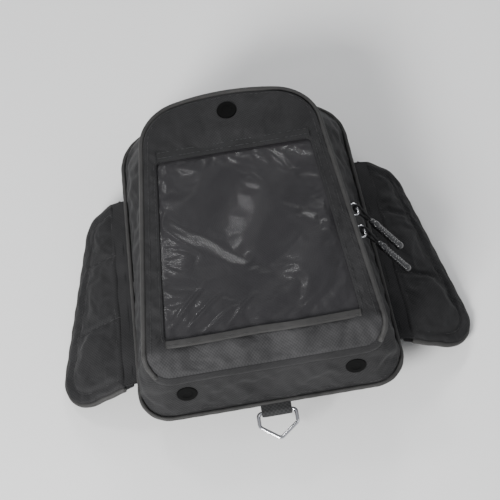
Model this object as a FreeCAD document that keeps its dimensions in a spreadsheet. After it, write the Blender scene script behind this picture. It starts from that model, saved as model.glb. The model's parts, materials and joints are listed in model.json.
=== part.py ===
import FreeCAD, Part
import math
import os

# A small magnetic motorcycle tank bag: a flared hollow body on a padded base, a padded lid that is zipped
# round both sides and the front and hinges at the rear, a clear window over a phone pocket, and two side
# wings that hold it to the tank with magnets.
# Millimetres. +Y points to the handlebar, +X to the rider's right, +Z up.
# The origin is the centre of the base's flat underside, where it lies on the tank.

Vector = FreeCAD.Vector
UP = Vector(0, 0, 1)
# how far a cutting shape reaches past what it cuts
CUT_MARGIN = 10
# where a groove of a grip starts, is deepest and ends, as shares of the spacing of the grooves
GROOVE_SHARES = (0.2, 0.4, 0.6)

doc = FreeCAD.newDocument("TankBag")
sheet = doc.addObject("Spreadsheet::Sheet", "Sizes")

# alias, value (mm, or degrees where the name says so), what it is
SIZES = [
    # the base outline and the lid outline: a straight rear edge, rounded corners, sides that taper
    # forward, shoulders and a broad front arch
    ("base_front", 142.0, "crown of the base's front arch"),
    ("base_rear", -142.0, "rear edge of the base"),
    ("base_arch_radius", 200.0, "front arch of the base"),
    ("base_shoulder_radius", 40.0, "front shoulders of the base"),
    ("base_shoulder_centre", 57.0, "shoulder centre from the middle"),
    ("base_corner_radius", 26.0, "rear corners of the base"),
    ("base_corner_centre", 80.0, "rear corner centre from the middle"),
    ("lid_front", 120.0, "crown of the lid's front arch"),
    ("lid_rear", -131.0, "rear edge of the lid, at the fold it hinges on"),
    ("lid_arch_radius", 200.0, "front arch of the lid"),
    ("lid_shoulder_radius", 42.0, "front shoulders of the lid"),
    ("lid_shoulder_centre", 34.0, "shoulder centre from the middle"),
    ("lid_corner_radius", 20.0, "rear corners of the lid"),
    ("lid_corner_centre", 75.0, "rear corner centre from the middle"),
    # heights
    ("pad_height", 4.0, "foam base pad"),
    ("wall_top", 41.0, "top of the body wall, where the zipper tape starts"),
    ("parting_height", 45.0, "between the two rows of zipper coil"),
    ("band_bottom", 49.0, "bottom of the lid's side band"),
    ("lid_top", 62.9, "top face of the lid panel"),
    # sheets and walls
    ("wall_thickness", 3.0, "body wall"),
    ("wall_inset", 1.0, "body wall behind the lid outline at the zipper"),
    ("board_height", 2.0, "stiffener board in the floor"),
    ("lining_height", 1.5, "floor lining"),
    ("piping_radius", 1.7, "piping cord in its fabric cover"),
    ("seam_gap", 0.05, "between sewn pieces"),
    ("band_thickness", 2.5, "lid side band"),
    ("panel_height", 3.1, "lid panel"),
    ("backing_height", 1.2, "back of the phone pocket"),
    ("backing_bottom", 49.5, "underside of the pocket back"),
    # zipper
    ("lid_strip_inset", 0.1, "lid's fold strip from the lid's rear edge"),
    ("lid_strip_thickness", 1.0, "lid's fold strip"),
    ("tape_inset", 2.9, "outer face of the zipper tape behind the lid outline"),
    ("tape_thickness", 0.8, "zipper tape"),
    ("coil_radius", 0.8, "one row of zipper coil"),
    ("coil_gap", 0.2, "half the gap between the two rows of coil"),
    ("zip_rear", -100.0, "rear ends of the zipper"),
    ("tab_height", 7.6, "folded zipper tabs"),
    ("tab_thickness", 2.0, "folded zipper tabs"),
    # lid details
    ("panel_rear", -108.5, "where the flat top ends and the rear band rolls down"),
    ("band_foot_y", -129.4, "lower edge of the rear band"),
    ("band_foot_z", 46.4, "lower edge of the rear band"),
    ("window_front", 61.0, "front edge of the clear window"),
    ("window_rear", -102.0, "rear edge of the clear window"),
    ("window_front_margin", 14.5, "lid outline to the window at its front edge"),
    ("window_rear_margin", 18.2, "lid outline to the window at its rear edge"),
    ("window_lap", 5.0, "window sheet beyond its opening"),
    ("window_height", 0.7, "clear window sheet"),
    ("seam_tape_width", 9.0, "binding tape over the window's front seam"),
    ("seam_tape_height", 0.8, "binding tapes over the window's front and rear seams"),
    ("mouth_front", 81.0, "front edge of the pocket mouth"),
    ("mouth_rear", 67.0, "rear edge of the pocket mouth"),
    ("mouth_half", 47.0, "half width of the pocket mouth"),
    ("flap_front", 95.0, "front edge of the pocket flap"),
    ("flap_axis_y", 63.0, "fold of the pocket flap"),
    ("flap_half", 50.0, "half width of the pocket flap"),
    ("flap_height", 1.0, "pocket flap"),
    ("strip_height", 0.9, "hook strip and loop strip"),
    ("strip_width", 10.0, "hook strip and loop strip"),
    ("strip_clearance", 0.15, "between the hook strip and the loop strip"),
    ("flap_setback", 1.0, "flap from its fold, and the strips from the flap's free edge"),
    # grommets
    ("grommet_bore", 4.2, "cable hole radius"),
    ("grommet_neck", 6.0, "neck radius"),
    ("grommet_flange", 8.5, "flange radius"),
    ("grommet_flange_height", 1.4, "each flange"),
    ("grommet_clearance", 0.1, "neck in its hole"),
    ("lid_grommet_y", 99.0, "lid cable port"),
    ("rear_grommet_inset", 9.0, "rear cable ports inside the lid's corner centres"),
    ("rear_grommet_z", 31.0, "rear cable ports above the tank"),
    # side wings, in a flat frame whose origin is on the fold: x outward, y forward
    ("wing_front", 72.0, "front end of the wing's fold"),
    ("wing_rear", -108.0, "rear end of the wing's fold"),
    ("wing_shoulder_x", 36.0, "front outer corner"),
    ("wing_shoulder_y", 60.0, "front outer corner"),
    ("wing_shoulder_radius", 24.0, "front outer corner"),
    ("wing_tip_x", 80.0, "rear outer corner"),
    ("wing_tip_y", -112.0, "rear outer corner"),
    ("wing_tip_radius", 30.0, "rear outer corner"),
    ("wing_droop_degrees", 30.0, "slope of the wings down the tank"),
    ("wing_lining_height", 1.4, "grippy underside of a wing"),
    ("wing_shell_height", 5.5, "padded upper of a wing"),
    ("wing_shell_start", 8.0, "padded upper from the fold"),
    ("wing_fold_gap", 1.2, "wing lining from the fold's axis"),
    ("wing_axis_gap", 1.8, "fold's axis outside the base outline"),
    ("wing_axis_z", 2.0, "fold's axis above the tank"),
    ("strip_thickness", 1.4, "fold strip between base and wing"),
    ("strip_end_gap", 0.5, "fold strip's end from the axis"),
    ("strip_setback", 4.0, "fold strip's ends from the ends of the fold"),
    ("binding_radius", 1.5, "bound edge of a wing"),
    ("magnet_height", 3.0, "magnet plates"),
    ("magnet_clearance", 0.1, "magnet in its pocket, all round"),
    ("rear_magnet_x", 32.0, "rear magnet's middle"),
    ("rear_magnet_y", -71.0, "rear magnet's middle"),
    ("rear_magnet_width", 34.0, "rear magnet across"),
    ("rear_magnet_length", 46.0, "rear magnet along"),
    ("front_magnet_x", 23.0, "front magnet's middle"),
    ("front_magnet_y", -12.0, "front magnet's middle"),
    ("front_magnet_width", 20.0, "front magnet across"),
    ("front_magnet_length", 44.0, "front magnet along"),
    # tether ring
    ("ring_wire_radius", 1.6, "wire"),
    ("ring_half", 15.0, "half width between wire centres"),
    ("ring_side", 11.0, "straight sides from the bar"),
    ("ring_depth", 22.5, "bar to the tip of the V"),
    ("ring_bend", 3.0, "bend radius of the wire"),
    ("ring_axis_gap", 5.5, "ring's bar behind the base's rear edge"),
    ("ring_axis_z", 3.5, "ring's bar above the tank"),
    ("ring_tilt_degrees", 4.8, "how far the tip hangs below level, down on the tank"),
    ("ring_clearance", 0.3, "bar in its webbing loop"),
    ("webbing_thickness", 1.5, "webbing round the bar"),
    ("webbing_half", 12.0, "half width of the webbing"),
    ("webbing_tail_top", 3.8, "top of the webbing tail under the piping"),
    # zipper sliders and pulls
    ("front_slider_y", -4.0, "middle of the front slider"),
    ("rear_slider_y", -25.0, "middle of the rear slider"),
    ("slider_half", 6.0, "half length of a slider"),
    ("slider_reach", 3.7, "slider above and below the parting"),
    ("slider_plate", 1.6, "slider plate thickness"),
    ("slider_clearance", 0.3, "slider off the coil"),
    ("bail_reach", 8.0, "bail bar out from the coil's middle"),
    ("bail_wire", 1.4, "bail bar"),
    ("pull_loop_radius", 3.0, "pull cord's turn round the bail"),
    ("pull_cord_radius", 1.0, "pull cord"),
    ("pull_grip_start", 13.0, "moulded grip from the bail bar"),
    ("pull_grip_length", 35.0, "moulded grip"),
    ("pull_grip_radius", 3.4, "moulded grip"),
    ("pull_grip_groove", 0.7, "depth of the grooves round the grip"),
    ("pull_grip_grooves", 6, "number of grooves"),
    ("pull_grip_margin", 4.0, "smooth length at each end of the grip"),
    ("pull_grip_bevel", 1.0, "bevel where the cord enters"),
    ("pull_grip_tip", 2.0, "bevel at the free end"),
    ("pull_cord_gap", 0.3, "cord strands short of the grip"),
    ("pull_strand_half", 1.3, "cord strands from the grip's middle"),
    ("pull_drop_degrees", 32.0, "pull below level, seen along the zipper"),
    ("pull_trail_degrees", 49.0, "pull trailing to the rear"),
]

for row, (alias, value, note) in enumerate(SIZES, start=1):
    sheet.set("A%d" % row, alias)
    sheet.set("B%d" % row, str(value))
    sheet.setAlias("B%d" % row, alias)
    sheet.set("C%d" % row, note)
doc.recompute()

nodes = []


def size(name):
    """The value of a named cell."""
    return float(sheet.get(name))


# ---------------------------------------------------------------- outlines

def flat(x, y):
    """A point of a flat drawing."""
    return Vector(x, y, 0)


def polar(centre, radius, angle):
    """The point at an angle round a centre."""
    return centre + flat(radius * math.cos(angle), radius * math.sin(angle))


def arc(centre, radius, start, end):
    """An arc, anticlockwise from one angle to another."""
    return Part.ArcOfCircle(Part.Circle(centre, UP, radius), start, end)


def polygon(points):
    """A closed outline of straight edges."""
    return [Part.LineSegment(points[i - 1], points[i]) for i in range(len(points))]


def rectangle(x0, x1, y0, y1):
    """A closed rectangle."""
    return polygon([flat(x0, y0), flat(x1, y0), flat(x1, y1), flat(x0, y1)])


def belt_centres(kind):
    """Arch, right shoulder and right rear corner centres of the "base" or the "lid" outline.
    A shoulder arc touches the arch from inside, so its centre follows from the two radii."""
    arch = flat(0, size(kind + "_front") - size(kind + "_arch_radius"))
    reach = size(kind + "_arch_radius") - size(kind + "_shoulder_radius")
    across = size(kind + "_shoulder_centre")
    shoulder = arch + flat(across, math.sqrt(reach ** 2 - across ** 2))
    corner = flat(size(kind + "_corner_centre"), size(kind + "_rear") + size(kind + "_corner_radius"))
    return arch, shoulder, corner


def side_angle(kind):
    """Angle of the right side's outward normal: the side touches the shoulder and the corner arcs."""
    arch, shoulder, corner = belt_centres(kind)
    run = corner - shoulder
    drop = size(kind + "_shoulder_radius") - size(kind + "_corner_radius")
    return math.atan2(run.y, run.x) + math.acos(drop / run.Length)


def side_point(kind, inset, y):
    """The point of the right side at a given y, moved inward by the inset."""
    arch, shoulder, corner = belt_centres(kind)
    angle = side_angle(kind)
    reach = shoulder.dot(polar(flat(0, 0), 1, angle)) + size(kind + "_shoulder_radius") - inset
    return flat((reach - y * math.sin(angle)) / math.cos(angle), y)


def front_run(kind, inset, y_end):
    """The outline from the right side at y_end, round the front, to the left side at y_end."""
    arch, shoulder, corner = belt_centres(kind)
    side = side_angle(kind)
    join = math.atan2(shoulder.y - arch.y, shoulder.x)
    shoulder_radius = size(kind + "_shoulder_radius") - inset
    left_shoulder = flat(-shoulder.x, shoulder.y)
    right_end = side_point(kind, inset, y_end)
    left_end = flat(-right_end.x, y_end)
    return [
        Part.LineSegment(right_end, polar(shoulder, shoulder_radius, side)),
        arc(shoulder, shoulder_radius, side, join),
        arc(arch, size(kind + "_arch_radius") - inset, join, math.pi - join),
        arc(left_shoulder, shoulder_radius, math.pi - join, math.pi - side),
        Part.LineSegment(polar(left_shoulder, shoulder_radius, math.pi - side), left_end),
    ]


def belt(kind, inset):
    """The whole closed outline, moved inward by the inset."""
    arch, shoulder, corner = belt_centres(kind)
    side = side_angle(kind)
    radius = size(kind + "_corner_radius") - inset
    left = flat(-corner.x, corner.y)
    side_start = polar(corner, radius, side)
    front = front_run(kind, inset, side_start.y)
    return front + [
        arc(left, radius, math.pi - side, 1.5 * math.pi),
        Part.LineSegment(polar(left, radius, 1.5 * math.pi), polar(corner, radius, 1.5 * math.pi)),
        arc(corner, radius, -0.5 * math.pi, side),
    ]


def open_band(kind, inset, thickness, y_end):
    """A band along the front run, closed by a straight cut at each rear end."""
    outer = front_run(kind, inset, y_end)
    inner = front_run(kind, inset + thickness, y_end)
    right = Part.LineSegment(inner[0].StartPoint, outer[0].StartPoint)
    left = Part.LineSegment(outer[-1].EndPoint, inner[-1].EndPoint)
    return outer + [left] + inner + [right]


def closed_front(kind, inset, y_end):
    """The front run closed by a straight rear edge."""
    run = front_run(kind, inset, y_end)
    return run + [Part.LineSegment(run[-1].EndPoint, run[0].StartPoint)]


def rounded(points, radii):
    """An open path of straight runs whose inner corners are arcs of the given radii."""
    pieces = []
    start = points[0]
    for before, corner, after, radius in zip(points, points[1:], points[2:], radii):
        back = (before - corner).normalize()
        ahead = (after - corner).normalize()
        half = back.getAngle(ahead) / 2
        leg = radius / math.tan(half)
        entry = corner + back * leg
        leave = corner + ahead * leg
        middle = corner + (back + ahead).normalize() * (radius / math.sin(half) - radius)
        pieces.append(Part.LineSegment(start, entry))
        pieces.append(Part.Arc(entry, middle, leave))
        start = leave
    pieces.append(Part.LineSegment(start, points[-1]))
    return pieces


# ---------------------------------------------------------------- solids

def new_body(label, place=None, keep=True):
    """A PartDesign body; the ones kept are the bag's own pieces."""
    body = doc.addObject("PartDesign::Body", label)
    body.Label = label
    if place is not None:
        body.Placement = place
    if keep:
        nodes.append(body)
    return body


def sketch_on(body, name, role, drawing, lift="0"):
    """A sketch on one of the body's own origin planes, lifted off it by a formula."""
    sketch = body.newObject("Sketcher::SketchObject", name)
    plane = [item for item in body.Origin.OriginFeatures if item.Role == role][0]
    sketch.AttachmentSupport = [(plane, "")]
    sketch.MapMode = "FlatFace"
    sketch.setExpression("AttachmentOffset.Base.z", lift)
    for piece in drawing:
        sketch.addGeometry(piece, False)
    return sketch


def pad(body, name, drawing, bottom, height):
    """Pad a level drawing upward from one height; both are formulas of the sheet."""
    feature = body.newObject("PartDesign::Pad", name)
    feature.Profile = sketch_on(body, name + "_sketch", "XY_Plane", drawing, bottom)
    feature.setExpression("Length", height)
    return feature


def slab(label, drawing, bottom, height, place=None):
    """A piece that is one level pad."""
    body = new_body(label, place)
    pad(body, label + "_pad", drawing, bottom, height)
    return body


def across_bag(body, name, kind, points, width):
    """Pad or pocket a side-view polygon across the bag, as far to the left as to the right."""
    feature = body.newObject(kind, name)
    feature.Profile = sketch_on(body, name + "_sketch", "YZ_Plane", polygon(points))
    feature.SideType = "Symmetric"
    feature.Length = width
    return feature


def spun(label, profile, place):
    """A piece turned round its own Z from a closed (radius, height) profile."""
    body = new_body(label, place)
    feature = body.newObject("PartDesign::Revolution", label + "_turn")
    sketch = sketch_on(body, label + "_profile", "XZ_Plane", polygon(profile))
    feature.Profile = sketch
    feature.ReferenceAxis = (sketch, ["V_Axis"])
    return body


def cord(label, pieces, radius, place):
    """A round cord or wire along a path of runs and arcs that touch."""
    path = Part.Wire([piece.toShape() for piece in pieces])
    start = path.Edges[0].valueAt(path.Edges[0].FirstParameter)
    heading = path.Edges[0].tangentAt(path.Edges[0].FirstParameter)
    section = Part.Wire([Part.makeCircle(radius, start, heading)])
    feature = doc.addObject("Part::Feature", label)
    feature.Label = label
    feature.Shape = path.makePipeShell([section], True, False)
    feature.Placement = place
    wanted = math.pi * radius ** 2 * path.Length
    if abs(feature.Shape.Volume - wanted) > 0.02 * wanted:
        raise ValueError("%s has volume %.1f, not %.1f" % (label, feature.Shape.Volume, wanted))
    nodes.append(feature)
    return feature


def lifted(z):
    """A placement straight up."""
    return FreeCAD.Placement(Vector(0, 0, z), FreeCAD.Rotation())


# ---------------------------------------------------------------- base and body

edge_inset = 2 * size("piping_radius") + size("seam_gap")


def base_pieces():
    """Pad, stiffener board, lining, flared wall and the piping round the foot."""
    slab("base_pad", belt("base", edge_inset), "0", "Sizes.pad_height")

    wall = new_body("body_wall")
    inner_edge = edge_inset + size("wall_thickness")
    for name, kind, foot_inset, top_inset in (
        ("outside", "PartDesign::AdditiveLoft", edge_inset, size("wall_inset")),
        ("inside", "PartDesign::SubtractiveLoft", inner_edge, size("wall_inset") + size("wall_thickness")),
    ):
        foot = sketch_on(wall, name + "_foot", "XY_Plane", belt("base", foot_inset), "Sizes.pad_height")
        top = sketch_on(wall, name + "_top", "XY_Plane", belt("lid", top_inset), "Sizes.wall_top")
        loft = wall.newObject(kind, name)
        loft.Profile = foot
        loft.Sections = [top]
        loft.Ruled = True
    for side in (-1, 1):
        hole = wall.newObject("PartDesign::SubtractiveCylinder", "cable_hole")
        hole.setExpression("Radius", "Sizes.grommet_neck + Sizes.grommet_clearance")
        hole.setExpression("Height", "4 * Sizes.wall_thickness")
        middle = rear_port_place(side)
        hole.Placement = middle.multiply(lifted(-2 * size("wall_thickness")))

    floor_inset = inner_edge + size("seam_gap")
    board_inset = floor_inset + steepest_lean() * size("board_height")
    lining_inset = board_inset + steepest_lean() * size("lining_height")
    slab("base_board", belt("base", board_inset), "Sizes.pad_height + Sizes.seam_gap", "Sizes.board_height")
    slab("floor_lining", belt("base", lining_inset),
         "Sizes.pad_height + Sizes.board_height + 2 * Sizes.seam_gap", "Sizes.lining_height")
    cord("base_piping", belt("base", size("piping_radius")), size("piping_radius"),
         lifted(size("pad_height") + size("piping_radius")))


def steepest_lean():
    """How far the wall leans in for each millimetre of height where it leans most."""
    base_arch, base_shoulder, base_corner = belt_centres("base")
    lid_arch, lid_shoulder, lid_corner = belt_centres("lid")
    front = size("base_front") - size("lid_front")
    shoulder = base_shoulder.distanceToPoint(lid_shoulder) + (
        size("base_shoulder_radius") - size("lid_shoulder_radius"))
    corner = base_corner.distanceToPoint(lid_corner) + size("base_corner_radius") - size("lid_corner_radius")
    return max(front, shoulder, corner) / (size("wall_top") - size("pad_height"))


def rear_port_place(side):
    """Where a rear cable port crosses the sloping rear wall: its Z points out through the wall."""
    foot = size("base_rear") + edge_inset
    top = size("lid_rear") + size("wall_inset")
    rise = size("wall_top") - size("pad_height")
    share = (size("rear_grommet_z") - size("pad_height")) / rise
    lean = math.atan2(top - foot, rise)
    outward = Vector(0, -math.cos(lean), math.sin(lean))
    across = side * (size("lid_corner_centre") - size("rear_grommet_inset"))
    face = Vector(across, foot + share * (top - foot), size("rear_grommet_z"))
    return FreeCAD.Placement(face, FreeCAD.Rotation(UP, outward))


def grommet(label, wall, place):
    """A rubber cable grommet: two flanges and a neck, with its Z outward and zero on the outer face."""
    bore = size("grommet_bore")
    neck = size("grommet_neck")
    flange = size("grommet_flange")
    high = size("seam_gap")
    low = -wall - size("seam_gap")
    edge = size("grommet_flange_height")
    spun(label, [
        flat(bore, low - edge), flat(flange, low - edge), flat(flange, low), flat(neck, low),
        flat(neck, high), flat(flange, high), flat(flange - edge / 2, high + edge), flat(bore, high + edge),
    ], place)


def zipper_pieces():
    """Tapes and coils, lower on the body and upper on the lid, and the folded tabs at the rear ends."""
    tape = open_band("lid", size("tape_inset"), size("tape_thickness"), size("zip_rear"))
    parting = size("parting_height")
    slab("lower_zipper_tape", tape, "Sizes.wall_top", "Sizes.parting_height - Sizes.wall_top - Sizes.coil_gap")
    slab("upper_zipper_tape", tape, "Sizes.parting_height + Sizes.coil_gap",
         "Sizes.band_bottom - Sizes.parting_height - Sizes.coil_gap")
    coil_inset = size("tape_inset") - size("coil_radius") - size("seam_gap")
    coil = front_run("lid", coil_inset, size("zip_rear"))
    step = size("coil_radius") + size("coil_gap")
    cord("lower_zipper_coil", coil, size("coil_radius"), lifted(parting - step))
    cord("upper_zipper_coil", coil, size("coil_radius"), lifted(parting + step))

    for name, side in (("left_zipper_tab", -1), ("right_zipper_tab", 1)):
        corners = []
        for inset in (size("tape_inset"), size("tape_inset") + size("tab_thickness")):
            for y in (size("zip_rear") - size("seam_gap"), size("panel_rear")):
                point = side_point("lid", inset, y)
                corners.append(flat(side * point.x, point.y))
        slab(name, polygon([corners[0], corners[1], corners[3], corners[2]]),
             "Sizes.wall_top", "Sizes.tab_height")


def hinge_strip():
    """The folded strip along the top of the rear wall that the lid hinges on."""
    back = size("lid_rear") + size("lid_strip_inset")
    half = size("lid_corner_centre")
    slab("lid_fold_strip", rectangle(-half, half, back, back + size("lid_strip_thickness")), "Sizes.wall_top",
         "Sizes.parting_height - Sizes.wall_top - 2 * Sizes.coil_gap")


# ---------------------------------------------------------------- lid

def lid_pieces():
    """Panel with its window opening, side band, rear band, piping and window."""
    gap = size("seam_gap")
    top = size("lid_top")
    panel_bottom = top - size("panel_height")

    front = size("window_front")
    rear = size("window_rear")
    front_half = side_point("lid", size("window_front_margin"), front).x
    rear_half = side_point("lid", size("window_rear_margin"), rear).x
    opening = polygon([flat(-rear_half, rear), flat(rear_half, rear),
                       flat(front_half, front), flat(-front_half, front)])
    port = [Part.Circle(flat(0, size("lid_grommet_y")), UP, size("grommet_neck") + size("grommet_clearance"))]
    slab("lid_panel", closed_front("lid", edge_inset, size("panel_rear")) + opening + port,
         "Sizes.lid_top - Sizes.panel_height", "Sizes.panel_height")

    lap = size("window_lap")
    slab("window", polygon([
        flat(-rear_half - lap, rear - lap / 2), flat(rear_half + lap, rear - lap / 2),
        flat(front_half + lap, front + lap), flat(-front_half - lap, front + lap),
    ]), "Sizes.lid_top - Sizes.panel_height - Sizes.window_height - Sizes.seam_gap", "Sizes.window_height")

    width = size("seam_tape_width")
    for name, half, low, high in (
        ("window_front_binding", front_half, front, front + width),
        ("window_rear_binding", rear_half, size("panel_rear"), rear),
    ):
        slab(name, rectangle(-half, half, low, high), "Sizes.lid_top + Sizes.seam_gap", "Sizes.seam_tape_height")

    slope = [
        Vector(size("panel_rear") - gap, top, 0),
        Vector(size("panel_rear") - gap, panel_bottom, 0),
        Vector(size("band_foot_y"), size("band_foot_z"), 0),
        Vector(size("band_foot_y"), size("band_foot_z") + size("panel_height"), 0),
    ]
    wide = 2 * (size("lid_corner_centre") + size("lid_corner_radius"))
    raw = new_body("rear_band_slope", keep=False)
    across_bag(raw, "rear_band_pad", "PartDesign::Pad", slope, wide)
    trim = new_body("rear_band_outline", keep=False)
    pad(trim, "rear_band_outline_pad", belt("lid", edge_inset), "Sizes.wall_top", "Sizes.lid_top")
    band = doc.addObject("Part::Common", "lid_rear_band")
    band.Label = "lid_rear_band"
    band.Base = raw
    band.Tool = trim
    nodes.append(band)

    side = new_body("lid_side_band")
    ring = belt("lid", size("tape_inset")) + belt("lid", size("tape_inset") + size("band_thickness"))
    pad(side, "lid_side_band_pad", ring, "Sizes.band_bottom",
        "Sizes.lid_top - Sizes.panel_height - Sizes.band_bottom - Sizes.seam_gap")
    far_rear = size("lid_rear") - CUT_MARGIN
    across_bag(side, "rear_cut", "PartDesign::Pocket", [
        Vector(size("panel_rear") + gap, panel_bottom + CUT_MARGIN, 0),
        Vector(size("panel_rear") + gap, panel_bottom - 2 * gap, 0),
        Vector(size("band_foot_y") + 2 * gap, size("band_foot_z") - 2 * gap, 0),
        Vector(far_rear, size("band_foot_z") - 2 * gap, 0),
        Vector(far_rear, panel_bottom + CUT_MARGIN, 0),
    ], wide)

    cord("lid_piping", front_run("lid", size("piping_radius"), size("panel_rear")), size("piping_radius"),
         lifted(panel_bottom + size("piping_radius")))

    grommet("lid_grommet", size("panel_height"),
            FreeCAD.Placement(Vector(0, size("lid_grommet_y"), top), FreeCAD.Rotation()))


def pocket_pieces():
    """The back of the phone pocket, its mouth, and the flap that hook and loop hold shut."""
    backing_inset = size("tape_inset") + size("band_thickness") + size("seam_gap")
    mouth = rectangle(-size("mouth_half"), size("mouth_half"), size("mouth_rear"), size("mouth_front"))
    slab("pocket_back", closed_front("lid", backing_inset, size("panel_rear")) + mouth,
         "Sizes.backing_bottom", "Sizes.backing_height")
    strip_front = size("flap_front") - size("flap_setback")
    strip = rectangle(-size("mouth_half"), size("mouth_half"), strip_front - size("strip_width"), strip_front)
    slab("loop_strip", strip, "Sizes.backing_bottom - Sizes.seam_gap - Sizes.strip_height", "Sizes.strip_height")
    slab("hook_strip", strip,
         "Sizes.backing_bottom - Sizes.seam_gap - Sizes.strip_clearance - 2 * Sizes.strip_height",
         "Sizes.strip_height")
    flap = rectangle(-size("flap_half"), size("flap_half"), size("flap_axis_y") + size("flap_setback"),
                     size("flap_front"))
    slab("pocket_flap", flap,
         "Sizes.backing_bottom - 2 * Sizes.seam_gap - Sizes.strip_clearance - 2 * Sizes.strip_height"
         " - Sizes.flap_height", "Sizes.flap_height")


# ---------------------------------------------------------------- wings

def fold_frame(side, droop):
    """The frame of one wing's fold: origin on its axis, X outward on the right, Y forward."""
    angle = side_angle("base")
    point = side_point("base", -size("wing_axis_gap"), 0)
    turn = FreeCAD.Rotation(UP, math.degrees(side * angle))
    hang = FreeCAD.Rotation(Vector(0, 1, 0), side * droop)
    return FreeCAD.Placement(Vector(side * point.x, 0, size("wing_axis_z")), turn.multiply(hang))


def wing_corners(start, inset):
    """The wing's corners from its fold, round the outside, moved inward by the inset."""
    corners = [
        flat(0, size("wing_front")),
        flat(size("wing_shoulder_x"), size("wing_shoulder_y")),
        flat(size("wing_tip_x"), size("wing_tip_y")),
        flat(0, size("wing_rear")),
    ]
    moved = []
    for before, after in zip(corners, corners[1:]):
        along = (after - before).normalize()
        inward = flat(along.y, -along.x)
        moved.append((before + inward * inset, along))
    points = [on_line(moved[0], start)]
    for first, second in zip(moved, moved[1:]):
        points.append(crossing(first, second))
    points.append(on_line(moved[-1], start))
    return points


def on_line(line, x):
    """The point of a line at a given x."""
    point, along = line
    return point + along * ((x - point.x) / along.x)


def crossing(first, second):
    """Where two lines cross."""
    (p, u), (q, v) = first, second
    across = q - p
    share = (across.x * v.y - across.y * v.x) / (u.x * v.y - u.y * v.x)
    return p + u * share


def wing_edge(side, start, inset):
    """The wing's rounded outer edge as a path, mirrored for the left side."""
    points = [flat(side * point.x, point.y) for point in wing_corners(start, inset)]
    radii = [size("wing_shoulder_radius") - inset, size("wing_tip_radius") - inset]
    return rounded(points, radii)


def wing_pieces(name, side):
    """One wing: lining, padded upper with two magnet pockets, magnets, bound edge and fold strip."""
    place = fold_frame(side, size("wing_droop_degrees"))
    gap = size("seam_gap")
    edge = 2 * size("binding_radius") + gap

    lining = wing_edge(side, size("wing_fold_gap"), edge)
    lining.append(Part.LineSegment(lining[-1].EndPoint, lining[0].StartPoint))
    slab(name + "_wing_lining", lining, "-Sizes.wing_lining_height / 2", "Sizes.wing_lining_height", place)

    shell = new_body(name + "_wing_shell", place)
    outline = wing_edge(side, size("wing_shell_start"), edge)
    outline.append(Part.LineSegment(outline[-1].EndPoint, outline[0].StartPoint))
    pad(shell, name + "_shell_pad", outline, "Sizes.wing_lining_height / 2 + Sizes.seam_gap",
        "Sizes.wing_shell_height")
    loose = size("magnet_clearance")
    for which in ("rear", "front"):
        x = side * size(which + "_magnet_x")
        y = size(which + "_magnet_y")
        half_x = size(which + "_magnet_width") / 2
        half_y = size(which + "_magnet_length") / 2
        room = shell.newObject("PartDesign::Pocket", name + "_" + which + "_room")
        room.Profile = sketch_on(
            shell, name + "_" + which + "_room_sketch", "XY_Plane",
            rectangle(x - half_x - loose, x + half_x + loose, y - half_y - loose, y + half_y + loose),
            "Sizes.wing_lining_height / 2 + Sizes.seam_gap")
        room.Reversed = True
        room.setExpression("Length", "Sizes.magnet_height + 2 * Sizes.magnet_clearance")
        slab("%s_%s_magnet" % (name, which), rectangle(x - half_x, x + half_x, y - half_y, y + half_y),
             "Sizes.wing_lining_height / 2 + Sizes.seam_gap + Sizes.magnet_clearance",
             "Sizes.magnet_height", place)

    binding = wing_edge(side, size("wing_shell_start"), size("binding_radius"))
    middle = size("wing_lining_height") / 2
    cord(name + "_wing_binding", binding, size("binding_radius"), place.multiply(lifted(middle)))

    inner = edge_inset + size("wing_axis_gap") - gap
    outer = size("strip_end_gap")
    left, right = sorted((-side * inner, -side * outer))
    rear = size("wing_rear") + size("strip_setback")
    front = size("wing_front") - size("strip_setback")
    slab(name + "_fold_strip", rectangle(left, right, rear, front),
         "-Sizes.strip_thickness / 2", "Sizes.strip_thickness", fold_frame(side, 0))


# ---------------------------------------------------------------- tether ring

def ring_pieces():
    """The webbing loop behind the base and the V-bottomed wire ring that turns in it."""
    axis_y = size("base_rear") - size("ring_axis_gap")
    axis_z = size("ring_axis_z")
    hole = size("ring_wire_radius") + size("ring_clearance")
    outside = hole + size("webbing_thickness")
    half = size("webbing_half")
    tail_end = size("base_rear") + edge_inset - size("seam_gap")

    loop = new_body("ring_webbing")
    for name, kind, drawing in (
        ("round", "PartDesign::Pad", [Part.Circle(Vector(axis_y, axis_z, 0), UP, outside)]),
        ("tail", "PartDesign::Pad", rectangle(axis_y, tail_end, axis_z - outside, size("webbing_tail_top"))),
        ("bar_hole", "PartDesign::Pocket", [Part.Circle(Vector(axis_y, axis_z, 0), UP, hole)]),
    ):
        feature = loop.newObject(kind, name)
        feature.Profile = sketch_on(loop, name + "_sketch", "YZ_Plane", drawing)
        feature.SideType = "Symmetric"
        feature.Length = 2 * half

    reach = size("ring_half")
    corners = [
        flat(0, 0), flat(reach, 0), flat(reach, -size("ring_side")), flat(0, -size("ring_depth")),
        flat(-reach, -size("ring_side")), flat(-reach, 0), flat(0, 0),
    ]
    wire = rounded(corners, [size("ring_bend")] * 5)
    tilt = FreeCAD.Rotation(Vector(1, 0, 0), size("ring_tilt_degrees"))
    cord("tether_ring", wire, size("ring_wire_radius"), FreeCAD.Placement(Vector(0, axis_y, axis_z), tilt))


# ---------------------------------------------------------------- zipper sliders and pulls

def run_frame(y):
    """A frame on the right-hand zipper run: X outward, Y forward along it, Z up, at the parting."""
    coil_inset = size("tape_inset") - size("coil_radius") - size("seam_gap")
    point = side_point("lid", coil_inset, y)
    turn = FreeCAD.Rotation(UP, math.degrees(side_angle("lid")))
    return FreeCAD.Placement(Vector(point.x, point.y, size("parting_height")), turn)


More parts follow.
